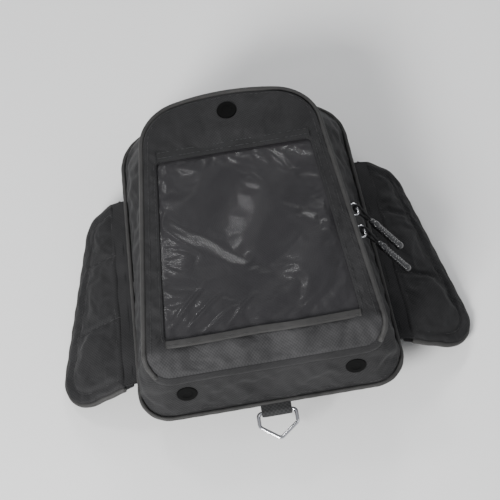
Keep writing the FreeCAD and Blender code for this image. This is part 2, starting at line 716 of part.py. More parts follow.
def slider(label, y):
    """A slider: a plate outside both coils, a lip under the lower one, and a bail for its pull."""
    body = new_body(label, run_frame(y))
    near = size("coil_radius") + size("slider_clearance")
    far = near + size("slider_plate")
    half = size("slider_half")
    reach = size("slider_reach")
    lip_top = -2 * size("coil_radius") - size("coil_gap") - size("slider_clearance")
    lip_near = -size("coil_radius") + size("slider_clearance")
    wire = size("bail_wire")
    bar = size("bail_reach")
    for name, drawing, bottom, height in (
        ("plate", rectangle(near, far, -half, half), -reach, 2 * reach),
        ("lip", rectangle(lip_near, far, -half, half), -reach, reach + lip_top),
        ("bail", polygon([
            flat(near, -half), flat(bar + wire / 2, -half), flat(bar + wire / 2, half), flat(near, half),
            flat(near, half - wire), flat(bar - wire / 2, half - wire),
            flat(bar - wire / 2, wire - half), flat(near, wire - half),
        ]), -wire / 2, wire),
    ):
        pad(body, label + "_" + name, drawing, str(bottom), str(height))
    return body


def pull_frame(y):
    """A frame on the bail bar whose Z runs down the pull and whose Y lies nearest the bar."""
    place = run_frame(y)
    drop = math.radians(size("pull_drop_degrees"))
    trail = math.radians(size("pull_trail_degrees"))
    down = Vector(math.cos(trail) * math.cos(drop), -math.sin(trail), -math.cos(trail) * math.sin(drop))
    side = Vector(0, 1, 0).cross(down).normalize()
    turn = FreeCAD.Rotation(side, down.cross(side), down, "ZXY")
    pivot = place.multVec(Vector(size("bail_reach"), 0, 0))
    return FreeCAD.Placement(pivot, place.Rotation.multiply(turn))


def pull(name, y):
    """A pull: a cord turned round the bail bar, and a grooved grip moulded on its two strands."""
    place = pull_frame(y)
    loop = size("pull_loop_radius")
    start = size("pull_grip_start")
    strand = size("pull_strand_half")
    # each strand leaves the turn along a tangent that ends at the grip
    touch = math.atan2(start, strand) - math.acos(loop / math.hypot(strand, start))
    touch_x = loop * math.cos(touch)
    touch_z = loop * math.sin(touch)
    gap = size("pull_cord_gap")
    path = [
        Part.LineSegment(Vector(strand, 0, start - gap), Vector(touch_x, 0, touch_z)),
        Part.Arc(Vector(touch_x, 0, touch_z), Vector(0, 0, -loop), Vector(-touch_x, 0, touch_z)),
        Part.LineSegment(Vector(-touch_x, 0, touch_z), Vector(-strand, 0, start - gap)),
    ]
    cord(name + "_pull_cord", path, size("pull_cord_radius"), place)

    radius = size("pull_grip_radius")
    length = size("pull_grip_length")
    groove = size("pull_grip_groove")
    bevel = size("pull_grip_bevel")
    tip = size("pull_grip_tip")
    margin = size("pull_grip_margin")
    grooves = int(size("pull_grip_grooves"))
    pitch = (length - 2 * margin) / grooves
    profile = [flat(0, start), flat(radius - bevel, start), flat(radius, start + bevel)]
    for index in range(grooves):
        low = start + margin + index * pitch
        bottom, rise, end = [low + share * pitch for share in GROOVE_SHARES]
        profile += [flat(radius, low), flat(radius - groove, bottom), flat(radius - groove, rise),
                    flat(radius, end)]
    profile += [flat(radius, start + length - tip), flat(radius - tip, start + length), flat(0, start + length)]
    spun(name + "_pull_grip", profile, place)


base_pieces()
for name, side in (("left", -1), ("right", 1)):
    grommet(name + "_rear_grommet", size("wall_thickness"), rear_port_place(side))
zipper_pieces()
hinge_strip()
lid_pieces()
pocket_pieces()
for name, side in (("left", -1), ("right", 1)):
    wing_pieces(name, side)
ring_pieces()
for name in ("front", "rear"):
    slider(name + "_slider", size(name + "_slider_y"))
    pull(name, size(name + "_slider_y"))

doc.recompute()
for item in doc.Objects:
    if "Invalid" in item.State or "Error" in item.State:
        raise ValueError("%s did not compute: %s" % (item.Label, item.State))
for item in nodes:
    if item.Shape.isNull() or not item.Shape.isValid():
        raise ValueError("%s has no valid shape" % item.Label)

os.makedirs("parts", exist_ok=True)
for item in nodes:
    item.Shape.exportStep("parts/%s.step" % item.Label)
    box = item.Shape.BoundBox
    print("%-22s %2d solid %9.1f mm3  x %7.1f %7.1f  y %7.1f %7.1f  z %6.1f %6.1f" % (
        item.Label, len(item.Shape.Solids), item.Shape.Volume,
        box.XMin, box.XMax, box.YMin, box.YMax, box.ZMin, box.ZMax))
for name, side in (("left", -1), ("right", 1)):
    place = fold_frame(side, 0)
    print(name, "wing axis", place.Base, place.Rotation.multVec(Vector(0, 1, 0)))
for name in ("front", "rear"):
    place = pull_frame(size(name + "_slider_y"))
    print(name, "bail bar", place.Base, "run", run_frame(0).Rotation.multVec(Vector(0, 1, 0)))
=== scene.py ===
# %% [markdown]
# # A magnetic tank bag for a motorcycle
# The bag lies on a fuel tank. A flared body stands on a padded base, a padded lid is zipped round both
# sides and the front, a clear window shows a phone, and two wings with magnets in them drape down the
# flanks of the tank. The engineering model comes first: every shape below is worked out from it, so nothing
# has to be fitted by hand.

# %% Load the engineering model
import json
import math
import bmesh
import bpy
import numpy as np
from mathutils import Matrix, Vector
from mathutils.bvhtree import BVHTree


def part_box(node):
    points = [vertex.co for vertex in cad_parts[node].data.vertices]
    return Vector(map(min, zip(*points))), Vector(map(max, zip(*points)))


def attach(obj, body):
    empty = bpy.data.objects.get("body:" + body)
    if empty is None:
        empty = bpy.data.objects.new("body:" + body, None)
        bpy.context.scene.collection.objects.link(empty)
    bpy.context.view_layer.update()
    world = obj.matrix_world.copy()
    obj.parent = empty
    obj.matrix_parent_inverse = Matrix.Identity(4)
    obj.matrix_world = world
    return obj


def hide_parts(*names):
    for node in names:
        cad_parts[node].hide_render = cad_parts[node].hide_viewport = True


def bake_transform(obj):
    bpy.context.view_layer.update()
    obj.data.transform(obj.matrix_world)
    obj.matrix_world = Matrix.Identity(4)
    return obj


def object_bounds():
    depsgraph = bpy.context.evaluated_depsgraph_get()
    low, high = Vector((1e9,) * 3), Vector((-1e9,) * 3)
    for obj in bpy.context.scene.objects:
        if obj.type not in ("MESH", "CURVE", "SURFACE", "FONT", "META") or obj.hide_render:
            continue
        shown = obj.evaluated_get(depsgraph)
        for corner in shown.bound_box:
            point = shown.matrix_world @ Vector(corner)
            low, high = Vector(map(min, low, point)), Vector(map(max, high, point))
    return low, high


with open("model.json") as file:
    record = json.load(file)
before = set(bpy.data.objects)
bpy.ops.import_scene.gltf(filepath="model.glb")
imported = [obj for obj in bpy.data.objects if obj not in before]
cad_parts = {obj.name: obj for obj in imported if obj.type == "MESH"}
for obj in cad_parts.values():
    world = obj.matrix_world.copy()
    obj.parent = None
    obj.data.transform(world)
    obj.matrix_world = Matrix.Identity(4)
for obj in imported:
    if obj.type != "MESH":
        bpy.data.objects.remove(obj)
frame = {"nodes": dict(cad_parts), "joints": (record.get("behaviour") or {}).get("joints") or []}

cad_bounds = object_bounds()
MM = 0.001
print("nodes in the frame:", len(frame["nodes"]))

# %% [markdown]
# ## Reading outlines off the frame
# The bag's plan is a rounded trapezoid with a broad arch in front. Its outline could be typed in again as
# numbers, but then it would drift away from the model. Instead the farthest vertex in each of many
# directions is taken, which walks round any convex outline, and the walk is then respaced evenly by length.

# %% Outline helpers
def corners(*names):
    """Lowest and highest corner, as arrays, of the box round the named nodes."""
    boxes = [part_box(name) for name in names]
    low = np.min([np.array(box[0]) for box in boxes], axis=0)
    high = np.max([np.array(box[1]) for box in boxes], axis=0)
    return low, high


def mesh_points(mesh):
    """All vertices of a mesh, one row each."""
    flat = np.empty(3 * len(mesh.vertices))
    mesh.vertices.foreach_get("co", flat)
    return flat.reshape(-1, 3)


def vertices(name):
    """All vertices of a node of the model, one row each."""
    return mesh_points(frame["nodes"][name].data)


def unit(rows):
    """Each row of an array cut to length one."""
    return rows / np.linalg.norm(rows, axis=-1, keepdims=True)


def respaced(points, count, closed):
    """A polyline walked at an even pace: linear interpolation along its running length."""
    if closed:
        points = np.vstack([points, points[:1]])
    steps = np.linalg.norm(np.diff(points, axis=0), axis=1)
    run = np.concatenate([[0], np.cumsum(steps)])
    wanted = np.linspace(0, run[-1], count, endpoint=not closed)
    return np.stack([np.interp(wanted, run, points[:, axis]) for axis in range(points.shape[1])], axis=1)


def walk_round(flat, count):
    """The convex outline of flat points: the farthest point in every direction, starting at the rear middle
    and running to the rider's right, then forward, then back down the left."""
    angle = np.linspace(-0.5 * math.pi, 1.5 * math.pi, 2880, endpoint=False) + 1e-4
    far = flat[np.argmax(flat @ np.stack([np.cos(angle), np.sin(angle)]), axis=0)]
    far = far[np.any(far != np.roll(far, 1, axis=0), axis=1)]
    start = np.array([[0.5 * (far[0, 0] + far[-1, 0]), far[:, 1].min()]])
    ring = respaced(np.vstack([start, far]), count, True)
    return (np.roll(ring, 1, axis=0) + 2 * ring + np.roll(ring, -1, axis=0)) / 4


def outward(ring):
    """Unit vectors pointing out of a closed outline: its direction of travel turned a quarter to the
    right."""
    travel = unit(np.roll(ring, -1, axis=0) - np.roll(ring, 1, axis=0))
    return np.stack([travel[:, 1], -travel[:, 0]], axis=1)


def smooth(value, low, high):
    """Zero below low, one above high, and an S between."""
    share = np.clip((value - low) / (high - low), 0, 1)
    return share * share * (3 - 2 * share)


def joint(name):
    """A joint of the model by name."""
    return next(item for item in frame["joints"] if item["name"] == name)


ROUND = 480
wall_low, wall_high = corners("body_wall")
wall_vertices = vertices("body_wall")
foot_ring = walk_round(wall_vertices[wall_vertices[:, 2] < wall_low[2] + MM][:, :2], ROUND)
rim_ring = walk_round(wall_vertices[wall_vertices[:, 2] > wall_high[2] - MM][:, :2], ROUND)
lid_ring = walk_round(np.vstack([vertices("lid_panel"), vertices("lid_rear_band")])[:, :2], ROUND)
print("foot outline %.0f mm round, lid outline %.0f mm round" % tuple(
    1000 * np.linalg.norm(ring - np.roll(ring, 1, axis=0), axis=1).sum() for ring in (foot_ring, lid_ring)))

# %% [markdown]
# ## From arrays to meshes
# Each soft piece is a grid of points, one array for the whole surface. Blender takes the points and the
# faces in one call. The pattern of a cloth has to follow the cloth, so each grid also gets UVs, in metres,
# measured along its own rows and columns.

# %% Mesh helpers
def grid_faces(rows, columns, wrap_rows, wrap_columns):
    """Four-sided faces between neighbours of a grid, and the grid place of each of their corners."""
    row_steps = rows if wrap_rows else rows - 1
    column_steps = columns if wrap_columns else columns - 1
    i, j = (grid.ravel() for grid in np.indices((row_steps, column_steps)))
    places = np.stack([i, j, i + 1, j, i + 1, j + 1, i, j + 1], axis=1).reshape(-1, 4, 2)
    return (places[..., 0] % rows) * columns + places[..., 1] % columns, places


def running(points, axis, wrap):
    """Mean length walked along one axis of a grid, from zero; a wrapped axis also walks back to its
    start."""
    if wrap:
        points = np.concatenate([points, np.take(points, [0], axis=axis)], axis=axis)
    mean = np.linalg.norm(np.diff(points, axis=axis), axis=2).mean(axis=1 - axis)
    return np.concatenate([[0], np.cumsum(mean)])


def new_piece(name, points, faces, centre, uvs=None):
    """A smooth-shaded mesh object from points and faces, with the faces turned to point away from a
    centre."""
    mesh = bpy.data.meshes.new(name)
    mesh.from_pydata(np.asarray(points).tolist(), [], faces)
    if uvs is not None:
        layer = mesh.uv_layers.new(name="cloth")
        layer.data.foreach_set("uv", np.asarray(uvs, np.float32).ravel())
    piece = bpy.data.objects.new(name, mesh)
    bpy.context.scene.collection.objects.link(piece)
    count = len(mesh.polygons)
    middles = np.empty(3 * count)
    normals = np.empty(3 * count)
    areas = np.empty(count)
    mesh.polygons.foreach_get("center", middles)
    mesh.polygons.foreach_get("normal", normals)
    mesh.polygons.foreach_get("area", areas)
    away = middles.reshape(-1, 3) - np.asarray(centre)
    if ((away * normals.reshape(-1, 3)).sum(axis=1) * areas).sum() < 0:
        mesh.flip_normals()
    mesh.polygons.foreach_set("use_smooth", np.ones(count, bool))
    mesh.update()
    return piece


def surface(name, points, wrap_rows=False, wrap_columns=False, cap=False):
    """A grid of points, rows by columns by three, as a piece. cap closes the two end rings of a wrapped
    tube."""
    rows, columns = points.shape[:2]
    faces, places = grid_faces(rows, columns, wrap_rows, wrap_columns)
    along = running(points, 0, wrap_rows)
    across = running(points, 1, wrap_columns)
    uvs = np.stack([along[places[..., 0]], across[places[..., 1]]], axis=-1).reshape(-1, 2)
    faces = faces.tolist()
    if cap:
        first = np.arange(columns)
        faces += [first[::-1].tolist(), (first + (rows - 1) * columns).tolist()]
        uvs = np.vstack([uvs, np.zeros((2 * columns, 2))])
    points = points.reshape(-1, 3)
    return new_piece(name, points, faces, points.mean(axis=0), uvs)


def tube(name, path, radius, closed=False, sides=12, flatten=1.0, up=(0, 0, 1)):
    """A round or oval section carried along a path; an open tube's ends are drawn in to a rounded tip."""
    travel = np.roll(path, -1, axis=0) - np.roll(path, 1, axis=0)
    if not closed:
        travel[0] = path[1] - path[0]
        travel[-1] = path[-1] - path[-2]
    travel = unit(travel)
    side = unit(np.cross(travel, np.array(up, float)))
    top = np.cross(side, travel)
    radius = np.broadcast_to(radius, len(path)).astype(float)
    if not closed:
        tip = np.array([0.3, 0.75])
        ends = radius[[0, -1]]
        path = np.vstack([path[:1] - travel[:1] * ends[0] * 0.8, path[:1] - travel[:1] * ends[0] * 0.5, path,
                          path[-1:] + travel[-1:] * ends[1] * 0.5, path[-1:] + travel[-1:] * ends[1] * 0.8])
        radius = np.concatenate([ends[0] * tip, radius, ends[1] * tip[::-1]])
        side = np.vstack([side[:1], side[:1], side, side[-1:], side[-1:]])
        top = np.vstack([top[:1], top[:1], top, top[-1:], top[-1:]])
    turn = np.linspace(0, 2 * math.pi, sides, endpoint=False)
    points = (path[:, None] + radius[:, None, None] * (
        np.cos(turn)[:, None] * side[:, None] + flatten * np.sin(turn)[:, None] * top[:, None]))
    return surface(name, points, closed, True, cap=not closed)


def squared(value, power):
    """A sine or cosine raised to a power with its sign kept, which squares off a circle."""
    return np.sign(value) * np.abs(value) ** power


def finish(piece, material, body, *replaced, slot=None):
    """Material, body and the nodes it stands for, for one finished piece; slot is not used."""
    piece.data.materials.clear()
    piece.data.materials.append(material)
    if body:
        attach(piece, body)
    if replaced:
        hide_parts(*replaced)
    print("%-24s %6d faces on %s" % (piece.name, len(piece.data.polygons), body))
    return piece


def thicken(piece, thickness):
    """Solidify gives an open sheet its thickness, behind its face."""
    solid = piece.modifiers.new("thickness", "SOLIDIFY")
    solid.thickness = thickness
    solid.offset = -1.0

# %% [markdown]
# ## Blowing up sewn cloth
# Padded cloth bellies between its seams and wrinkles toward them. Sines can hint at that, but a cloth
# simulation finds it: the seams are held, the cloth is made a little larger than the space between them,
# and pressure pushes it out. The result is kept as plain vertices, and one subdivision smooths it.

# %% Cloth helpers
CLOTH_STEPS = 20


def inflate(piece, held, pressure, slack, cap):
    """Blows a closed cloth up by pressure while the held vertices stay; slack is the share by which the
    cloth is larger than its start, and no vertex moves farther than cap."""
    group = piece.vertex_groups.new(name="held")
    group.add([int(place) for place in np.flatnonzero(held)], 1.0, "REPLACE")
    cloth = piece.modifiers.new("cloth", "CLOTH")
    cloth.settings.quality = 6
    cloth.settings.mass = 0.2
    cloth.settings.tension_stiffness = 12
    cloth.settings.compression_stiffness = 12
    cloth.settings.bending_stiffness = 0.15
    cloth.settings.air_damping = 4
    cloth.settings.shrink_min = -slack
    cloth.settings.use_pressure = True
    cloth.settings.uniform_pressure_force = pressure
    cloth.settings.vertex_group_mass = "held"
    cloth.settings.effector_weights.gravity = 0
    cloth.point_cache.frame_start = 1
    cloth.point_cache.frame_end = CLOTH_STEPS
    scene = bpy.context.scene
    for step in range(1, CLOTH_STEPS + 1):
        scene.frame_set(step)
    graph = bpy.context.evaluated_depsgraph_get()
    before = mesh_points(piece.data)
    move = mesh_points(piece.evaluated_get(graph).to_mesh()) - before
    length = np.linalg.norm(move, axis=1, keepdims=True)
    move *= np.minimum(1, cap / np.maximum(length, 1e-9))
    piece.evaluated_get(graph).to_mesh_clear()
    piece.modifiers.remove(cloth)
    piece.vertex_groups.remove(group)
    scene.frame_set(1)
    piece.data.vertices.foreach_set("co", (before + move).ravel())
    piece.data.update()
    print("%s blown up: mean move %.2f mm, largest %.2f mm" % (
        piece.name, length.mean() / MM, length.max() / MM))


def smoother(piece):
    """One subdivision, the same for the view and the render."""
    step = piece.modifiers.new("smooth", "SUBSURF")
    step.levels = 1
    step.render_levels = 1


def face_toward(piece, way):
    """Turns an open sheet over if its faces look away from a direction."""
    if np.array(piece.data.polygons[-1].normal) @ np.array(way) < 0:
        piece.data.flip_normals()


def close_poles(piece):
    """Merges the points of each pole into one."""
    shape = bmesh.new()
    shape.from_mesh(piece.data)
    bmesh.ops.remove_doubles(shape, verts=shape.verts, dist=0.01 * MM)
    shape.to_mesh(piece.data)
    shape.free()
    return piece


# %% [markdown]
# ## Cloth, vinyl, rubber and metal
# The bag is sewn from coarse nylon: threads cross every millimetre or so and catch a little light on their
# tops, and the colour is painted lighter on the thread tops and darker between them, as painted light and
# shade. A picture of cloth could be wrapped on, but a pattern worked out from the cloth's own UVs stays
# sharp at any distance. The product of two sines makes the over and under of the threads; noise at three
# sizes adds fibres, slubs and dusty patches, and on the lid the largest also breaks up the painted light
# that makes the rear band paler. Only roughness, colour and height vary; fixed values go straight on the
# shader.

# %% Material helpers
def new_material(name):
    """An empty node tree with a Principled shader joined to the output."""
    material = bpy.data.materials.new(name)
    material.use_nodes = True
    tree = material.node_tree
    tree.nodes.clear()
    shader = tree.nodes.new("ShaderNodeBsdfPrincipled")
    output = tree.nodes.new("ShaderNodeOutputMaterial")
    tree.links.new(shader.outputs[0], output.inputs[0])
    return material, tree, shader


def wire(tree, value, socket):
    """Joins a socket to another, or sets it to a number or colour."""
    if isinstance(value, bpy.types.NodeSocket):
        tree.links.new(value, socket)
    else:
        socket.default_value = value


def maths(tree, operation, first, second=0.0, third=0.0):
    """One step of arithmetic."""
    step = tree.nodes.new("ShaderNodeMath")
    step.operation = operation
    for value, socket in zip((first, second, third), step.inputs):
        wire(tree, value, socket)
    return step.outputs[0]


def noise(tree, place, scale, detail=3.0, rough=0.55):
    """Cloudy noise from 0 to 1; scale is in lumps per metre."""
    cloud = tree.nodes.new("ShaderNodeTexNoise")
    wire(tree, place, cloud.inputs["Vector"])
    cloud.inputs["Scale"].default_value = scale
    cloud.inputs["Detail"].default_value = detail
    cloud.inputs["Roughness"].default_value = rough
    return cloud.outputs["Fac"]


def blend_colours(tree, share, dark, light):
    """A colour between two, by share."""
    mix = tree.nodes.new("ShaderNodeMix")
    mix.data_type = "RGBA"
    mix.clamp_factor = False
    wire(tree, share, mix.inputs["Factor"])
    wire(tree, (*dark, 1.0), mix.inputs["A"])
    wire(tree, (*light, 1.0), mix.inputs["B"])
    return mix.outputs["Result"]


def stretch(tree, value, low, high, new_low=0.0, new_high=1.0):
    """Maps a range to another and holds it there."""
    step = tree.nodes.new("ShaderNodeMapRange")
    for item, socket in zip((value, low, high, new_low, new_high), step.inputs):
        wire(tree, item, socket)
    return step.outputs["Result"]


def relief(tree, shader, height, depth, strength=1.0):
    """Joins a height to the shader's normal; depth is in metres."""
    bump = tree.nodes.new("ShaderNodeBump")
    bump.inputs["Distance"].default_value = depth
    bump.inputs["Strength"].default_value = strength
    wire(tree, height, bump.inputs["Height"])
    wire(tree, bump.outputs[0], shader.inputs["Normal"])


def coordinates(tree, kind):
    """"UV" follows the cloth; "Object" is the place in the frame."""
    return tree.nodes.new("ShaderNodeTexCoord").outputs[kind]


def split(tree, place):
    """The separate numbers of a place."""
    parts = tree.nodes.new("ShaderNodeSeparateXYZ")
    wire(tree, place, parts.inputs[0])
    return parts.outputs


FIBRES = 1400.0
SLUBS = 260.0
PATCHES = 22.0


def woven(name, dark, light, pitch, kind="UV", turn=False, sheen=0.04, rough=(0.62, 0.9), depth=0.35,
          dust=0.5, painted_rear_light=None):
    """Plain weave: height is the product of two sines of the cloth's own directions, one thread every pitch,
    sharpened by noise for fibres and slubs; colour follows height, as painted light on the thread tops and
    painted shade between them, and dusty patches, at the lumps per metre named above. The last argument is
    the two places along the bag between which the cloth is painted paler toward the rear, as painted light
    on the rear band that slopes toward the key light, broken up by the largest noise."""
    material, tree, shader = new_material(name)
    place = coordinates(tree, kind)
    along, across = split(tree, place)[:2]
    if turn:
        along, across = maths(tree, "ADD", along, across), maths(tree, "SUBTRACT", along, across)
    beat = math.pi / pitch
    warp = maths(tree, "SINE", maths(tree, "MULTIPLY", along, beat))
    weft = maths(tree, "SINE", maths(tree, "MULTIPLY", across, beat))
    weave = maths(tree, "MULTIPLY_ADD", maths(tree, "MULTIPLY", warp, weft), 0.5, 0.5)
    space = coordinates(tree, "Object")
    fibre = noise(tree, space, FIBRES, 2.0)
    slub = noise(tree, space, SLUBS, 3.0, 0.6)
    patch = noise(tree, space, PATCHES, 4.0, 0.6)
    height = maths(tree, "ADD", maths(tree, "MULTIPLY", weave, 0.62), maths(tree, "MULTIPLY", fibre, 0.38))
    height = maths(tree, "ADD", height, maths(tree, "MULTIPLY", slub, 0.5))
    dusty = maths(tree, "MULTIPLY", stretch(tree, patch, 0.35, 0.7), dust * 0.5)
    # Painted light and shade: the colour is lighter on the thread tops and darker between the threads; dusty
    # patches add to it.
    tone = stretch(tree, maths(tree, "MULTIPLY_ADD", height, 0.55, dusty), 0.15, 1.0)
    # Painted light: the cloth is painted paler toward the rear, where the lid's rear band slopes toward the
    # key light, in patches.
    if painted_rear_light:
        rear_light_share = stretch(tree, split(tree, space)[1], painted_rear_light[0], painted_rear_light[1])
        tone = maths(tree, "MULTIPLY_ADD", rear_light_share, maths(tree, "MULTIPLY_ADD", patch, 0.8, 0.15), tone)
    wire(tree, blend_colours(tree, tone, dark, light), shader.inputs["Base Color"])
    wire(tree, stretch(tree, height, 0.3, 1.2, rough[1], rough[0]), shader.inputs["Roughness"])
    shader.inputs["Specular IOR Level"].default_value = 0.2
    shader.inputs["Sheen Weight"].default_value = sheen
    shader.inputs["Sheen Roughness"].default_value = 0.45
    relief(tree, shader, height, depth * MM)
    return material


def moulded(name, dark, light, rough, grain=420.0, depth=0.08, coat=0.0, metal=0.0, gloss=0.5):
    """Rubber, plastic or cast metal: fine grain in the height and slow changes of gloss from handling."""
    material, tree, shader = new_material(name)
    place = coordinates(tree, "Object")
    fine = noise(tree, place, grain, 4.0)
    slow = noise(tree, place, grain / 14, 3.0)
    wire(tree, blend_colours(tree, stretch(tree, slow, 0.3, 0.7), dark, light), shader.inputs["Base Color"])
    spread = 0.22 * rough + 0.02
    handled = stretch(tree, slow, 0.3, 0.7, max(rough - spread, 0.04), rough + spread)
    wire(tree, handled, shader.inputs["Roughness"])
    shader.inputs["Metallic"].default_value = metal
    shader.inputs["Specular IOR Level"].default_value = gloss
    shader.inputs["Coat Weight"].default_value = coat
    shader.inputs["Coat Roughness"].default_value = 0.2
    relief(tree, shader, fine, depth * MM)
    return material


def clear_vinyl(name):
    """Soft clear sheet, a little smoky: mostly see-through, with gloss broken by scuffs and fine ripples."""
    material, tree, shader = new_material(name)
    place = coordinates(tree, "Object")
    ripple = noise(tree, place, 30.0, 1.0)
    scuff = noise(tree, place, 70.0, 6.0, 0.7)
    shader.inputs["Base Color"].default_value = (0.032, 0.031, 0.033, 1.0)
    wire(tree, stretch(tree, scuff, 0.3, 0.8, 0.32, 0.46), shader.inputs["Roughness"])
    wire(tree, stretch(tree, scuff, 0.3, 0.8, 0.58, 0.70), shader.inputs["Alpha"])
    shader.inputs["IOR"].default_value = 1.52
    shader.inputs["Coat Weight"].default_value = 0.1
    shader.inputs["Coat Roughness"].default_value = 0.1
    shader.inputs["Specular IOR Level"].default_value = 0.15
    relief(tree, shader, ripple, 0.8 * MM, 0.5)
    return material


NYLON_DARK = (0.0045, 0.0045, 0.0048)
NYLON_LIGHT = (0.031, 0.0306, 0.0315)
BLACK_CLOTH = (0.005, 0.005, 0.005)
# Where along the bag the lid's cloth turns paler: painted light on the rear band, which slopes toward the
# key light.
REAR_LIGHT_START = -104 * MM
REAR_LIGHT_END = -114 * MM
nylon = woven("coarse_nylon", NYLON_DARK, NYLON_LIGHT, 1.25 * MM)
nylon_flat = woven("coarse_nylon_flat", NYLON_DARK, NYLON_LIGHT, 1.25 * MM, kind="Object",
                   painted_rear_light=(REAR_LIGHT_START, REAR_LIGHT_END))
lining = woven("plain_lining", BLACK_CLOTH, (0.026, 0.026, 0.028), 0.9 * MM)


def grippy(name, kind):
    """The underside's cloth: a coarse weave on the slant, with little dust and no sheen."""
    return woven(name, BLACK_CLOTH, (0.022, 0.022, 0.023), 3.2 * MM, kind=kind, turn=True, sheen=0.0,
                 rough=(0.5, 0.75), depth=0.6, dust=0.2)


grip_cloth = grippy("grippy_underside", "Object")
grip_cloth_uv = grippy("grippy_lining", "UV")
piping_cloth = woven("piping_cloth", (0.009, 0.009, 0.0088), (0.062, 0.0605, 0.059), 0.8 * MM, sheen=0.05,
                     rough=(0.45, 0.72), depth=0.25)
tape_cloth = woven("ribbed_tape", (0.004, 0.004, 0.004), (0.030, 0.030, 0.031), 1.0 * MM)
web_cloth = woven("webbing", BLACK_CLOTH, (0.042, 0.042, 0.043), 1.6 * MM, depth=0.5)
cord_weave = woven("pull_cord_weave", BLACK_CLOTH, (0.045, 0.045, 0.046), 0.9 * MM, kind="Object",
                   turn=True, depth=0.3)
thread = moulded("sewing_thread", (0.012, 0.012, 0.012), (0.030, 0.030, 0.031), 0.55)
coil_plastic = moulded("coil_nylon", (0.012, 0.012, 0.013), (0.030, 0.030, 0.032), 0.35)
# Black rubber, darkened almost to black so that, with the dishes in the holes, it also stands as painted
# shade for the dark grommet holes.
rubber = moulded("grommet_rubber", (0.0008, 0.0008, 0.0008), (0.003, 0.003, 0.003), 0.6, depth=0.12,
                 gloss=0.06)
board_plastic = moulded("board_plastic", (0.020, 0.020, 0.020), (0.040, 0.040, 0.042), 0.5)
fleece = moulded("hook_and_loop", (0.008, 0.008, 0.008), (0.040, 0.040, 0.042), 0.9, grain=900.0,
                 depth=0.6)
chrome = moulded("bright_plate", (0.62, 0.62, 0.64), (0.80, 0.80, 0.82), 0.14, grain=240.0, depth=0.02,
                 metal=1.0)
magnet_plate = moulded("magnet_plate", (0.35, 0.35, 0.36), (0.55, 0.55, 0.57), 0.35, metal=1.0)
grip_plastic = moulded("pull_grip", (0.012, 0.012, 0.0125), (0.032, 0.032, 0.034), 0.30, coat=0.6)
vinyl = clear_vinyl("clear_vinyl")
print("materials:", len(bpy.data.materials))

# %% [markdown]
# ## The body
# Four gusset panels of padded nylon flare from the zipper down to the foot. They could be flat plates, but
# sewn cloth never is: it bellies between its seams and puckers where a seam pulls. One grid carries the
# whole wall: it climbs the outside, rolls over the rim and goes back down the inside, so the wall is closed
# and has its thickness. Belly, folds and puckers are added along the outward direction.

# %% Folds
FOLDS = (
    (5, 1.3, 0.3, 0.50),
    (11, -1.7, 1.1, 0.34),
    (19, 2.3, 2.6, 0.24),
    (31, -3.1, 0.9, 0.16),
    (53, 1.9, 4.0, 0.10),
)


def folds(round_share, height, size, seed):
    """Soft folds on a wall: a few sines of the way round and the height. Each row of FOLDS is one sine:
    turns in the way round, pace up the wall, start and weight."""
    total = np.zeros(np.broadcast(round_share, height).shape)
    for turn, climb, start, weight in FOLDS:
        phase = 2 * math.pi * turn * round_share + climb * 2.2 * height + start * seed
        total = total + weight * np.sin(phase)
    return size * total


def bump_at(points, centre, radius):
    """One near a point, falling to zero around it as a bell."""
    return np.exp(-np.sum((points - np.asarray(centre)) ** 2, axis=-1) / radius ** 2)


zip_rear = corners("lower_zipper_tape")[0][1]
panel_low, panel_high = corners("lid_panel")
band_foot = corners("lid_side_band")[0][2]
fold_axis = np.array(joint("lid_hinge")["pos_m"])
ports = [np.mean(corners(side + "_rear_grommet"), axis=0) for side in ("left", "right")]

# %% Body wall
WALL_STEPS = 16
WALL_THICKNESS = 2.4 * MM
PORT_CALM = 14 * MM
BELLY = 2.6 * MM
REAR_BELLY = 0.9 * MM
RIM_BLEND = 4 * MM


def rear_rim(y):
    """One behind the zipper's ends, where the wall and the lid meet at the fold, and zero in front of
    them."""
    return smooth(zip_rear + MM - y, 0, RIM_BLEND)


def near_ports(points):
    """One at the middle of a rear cable port, falling away around it."""
    return sum(bump_at(points, port, PORT_CALM) for port in ports)


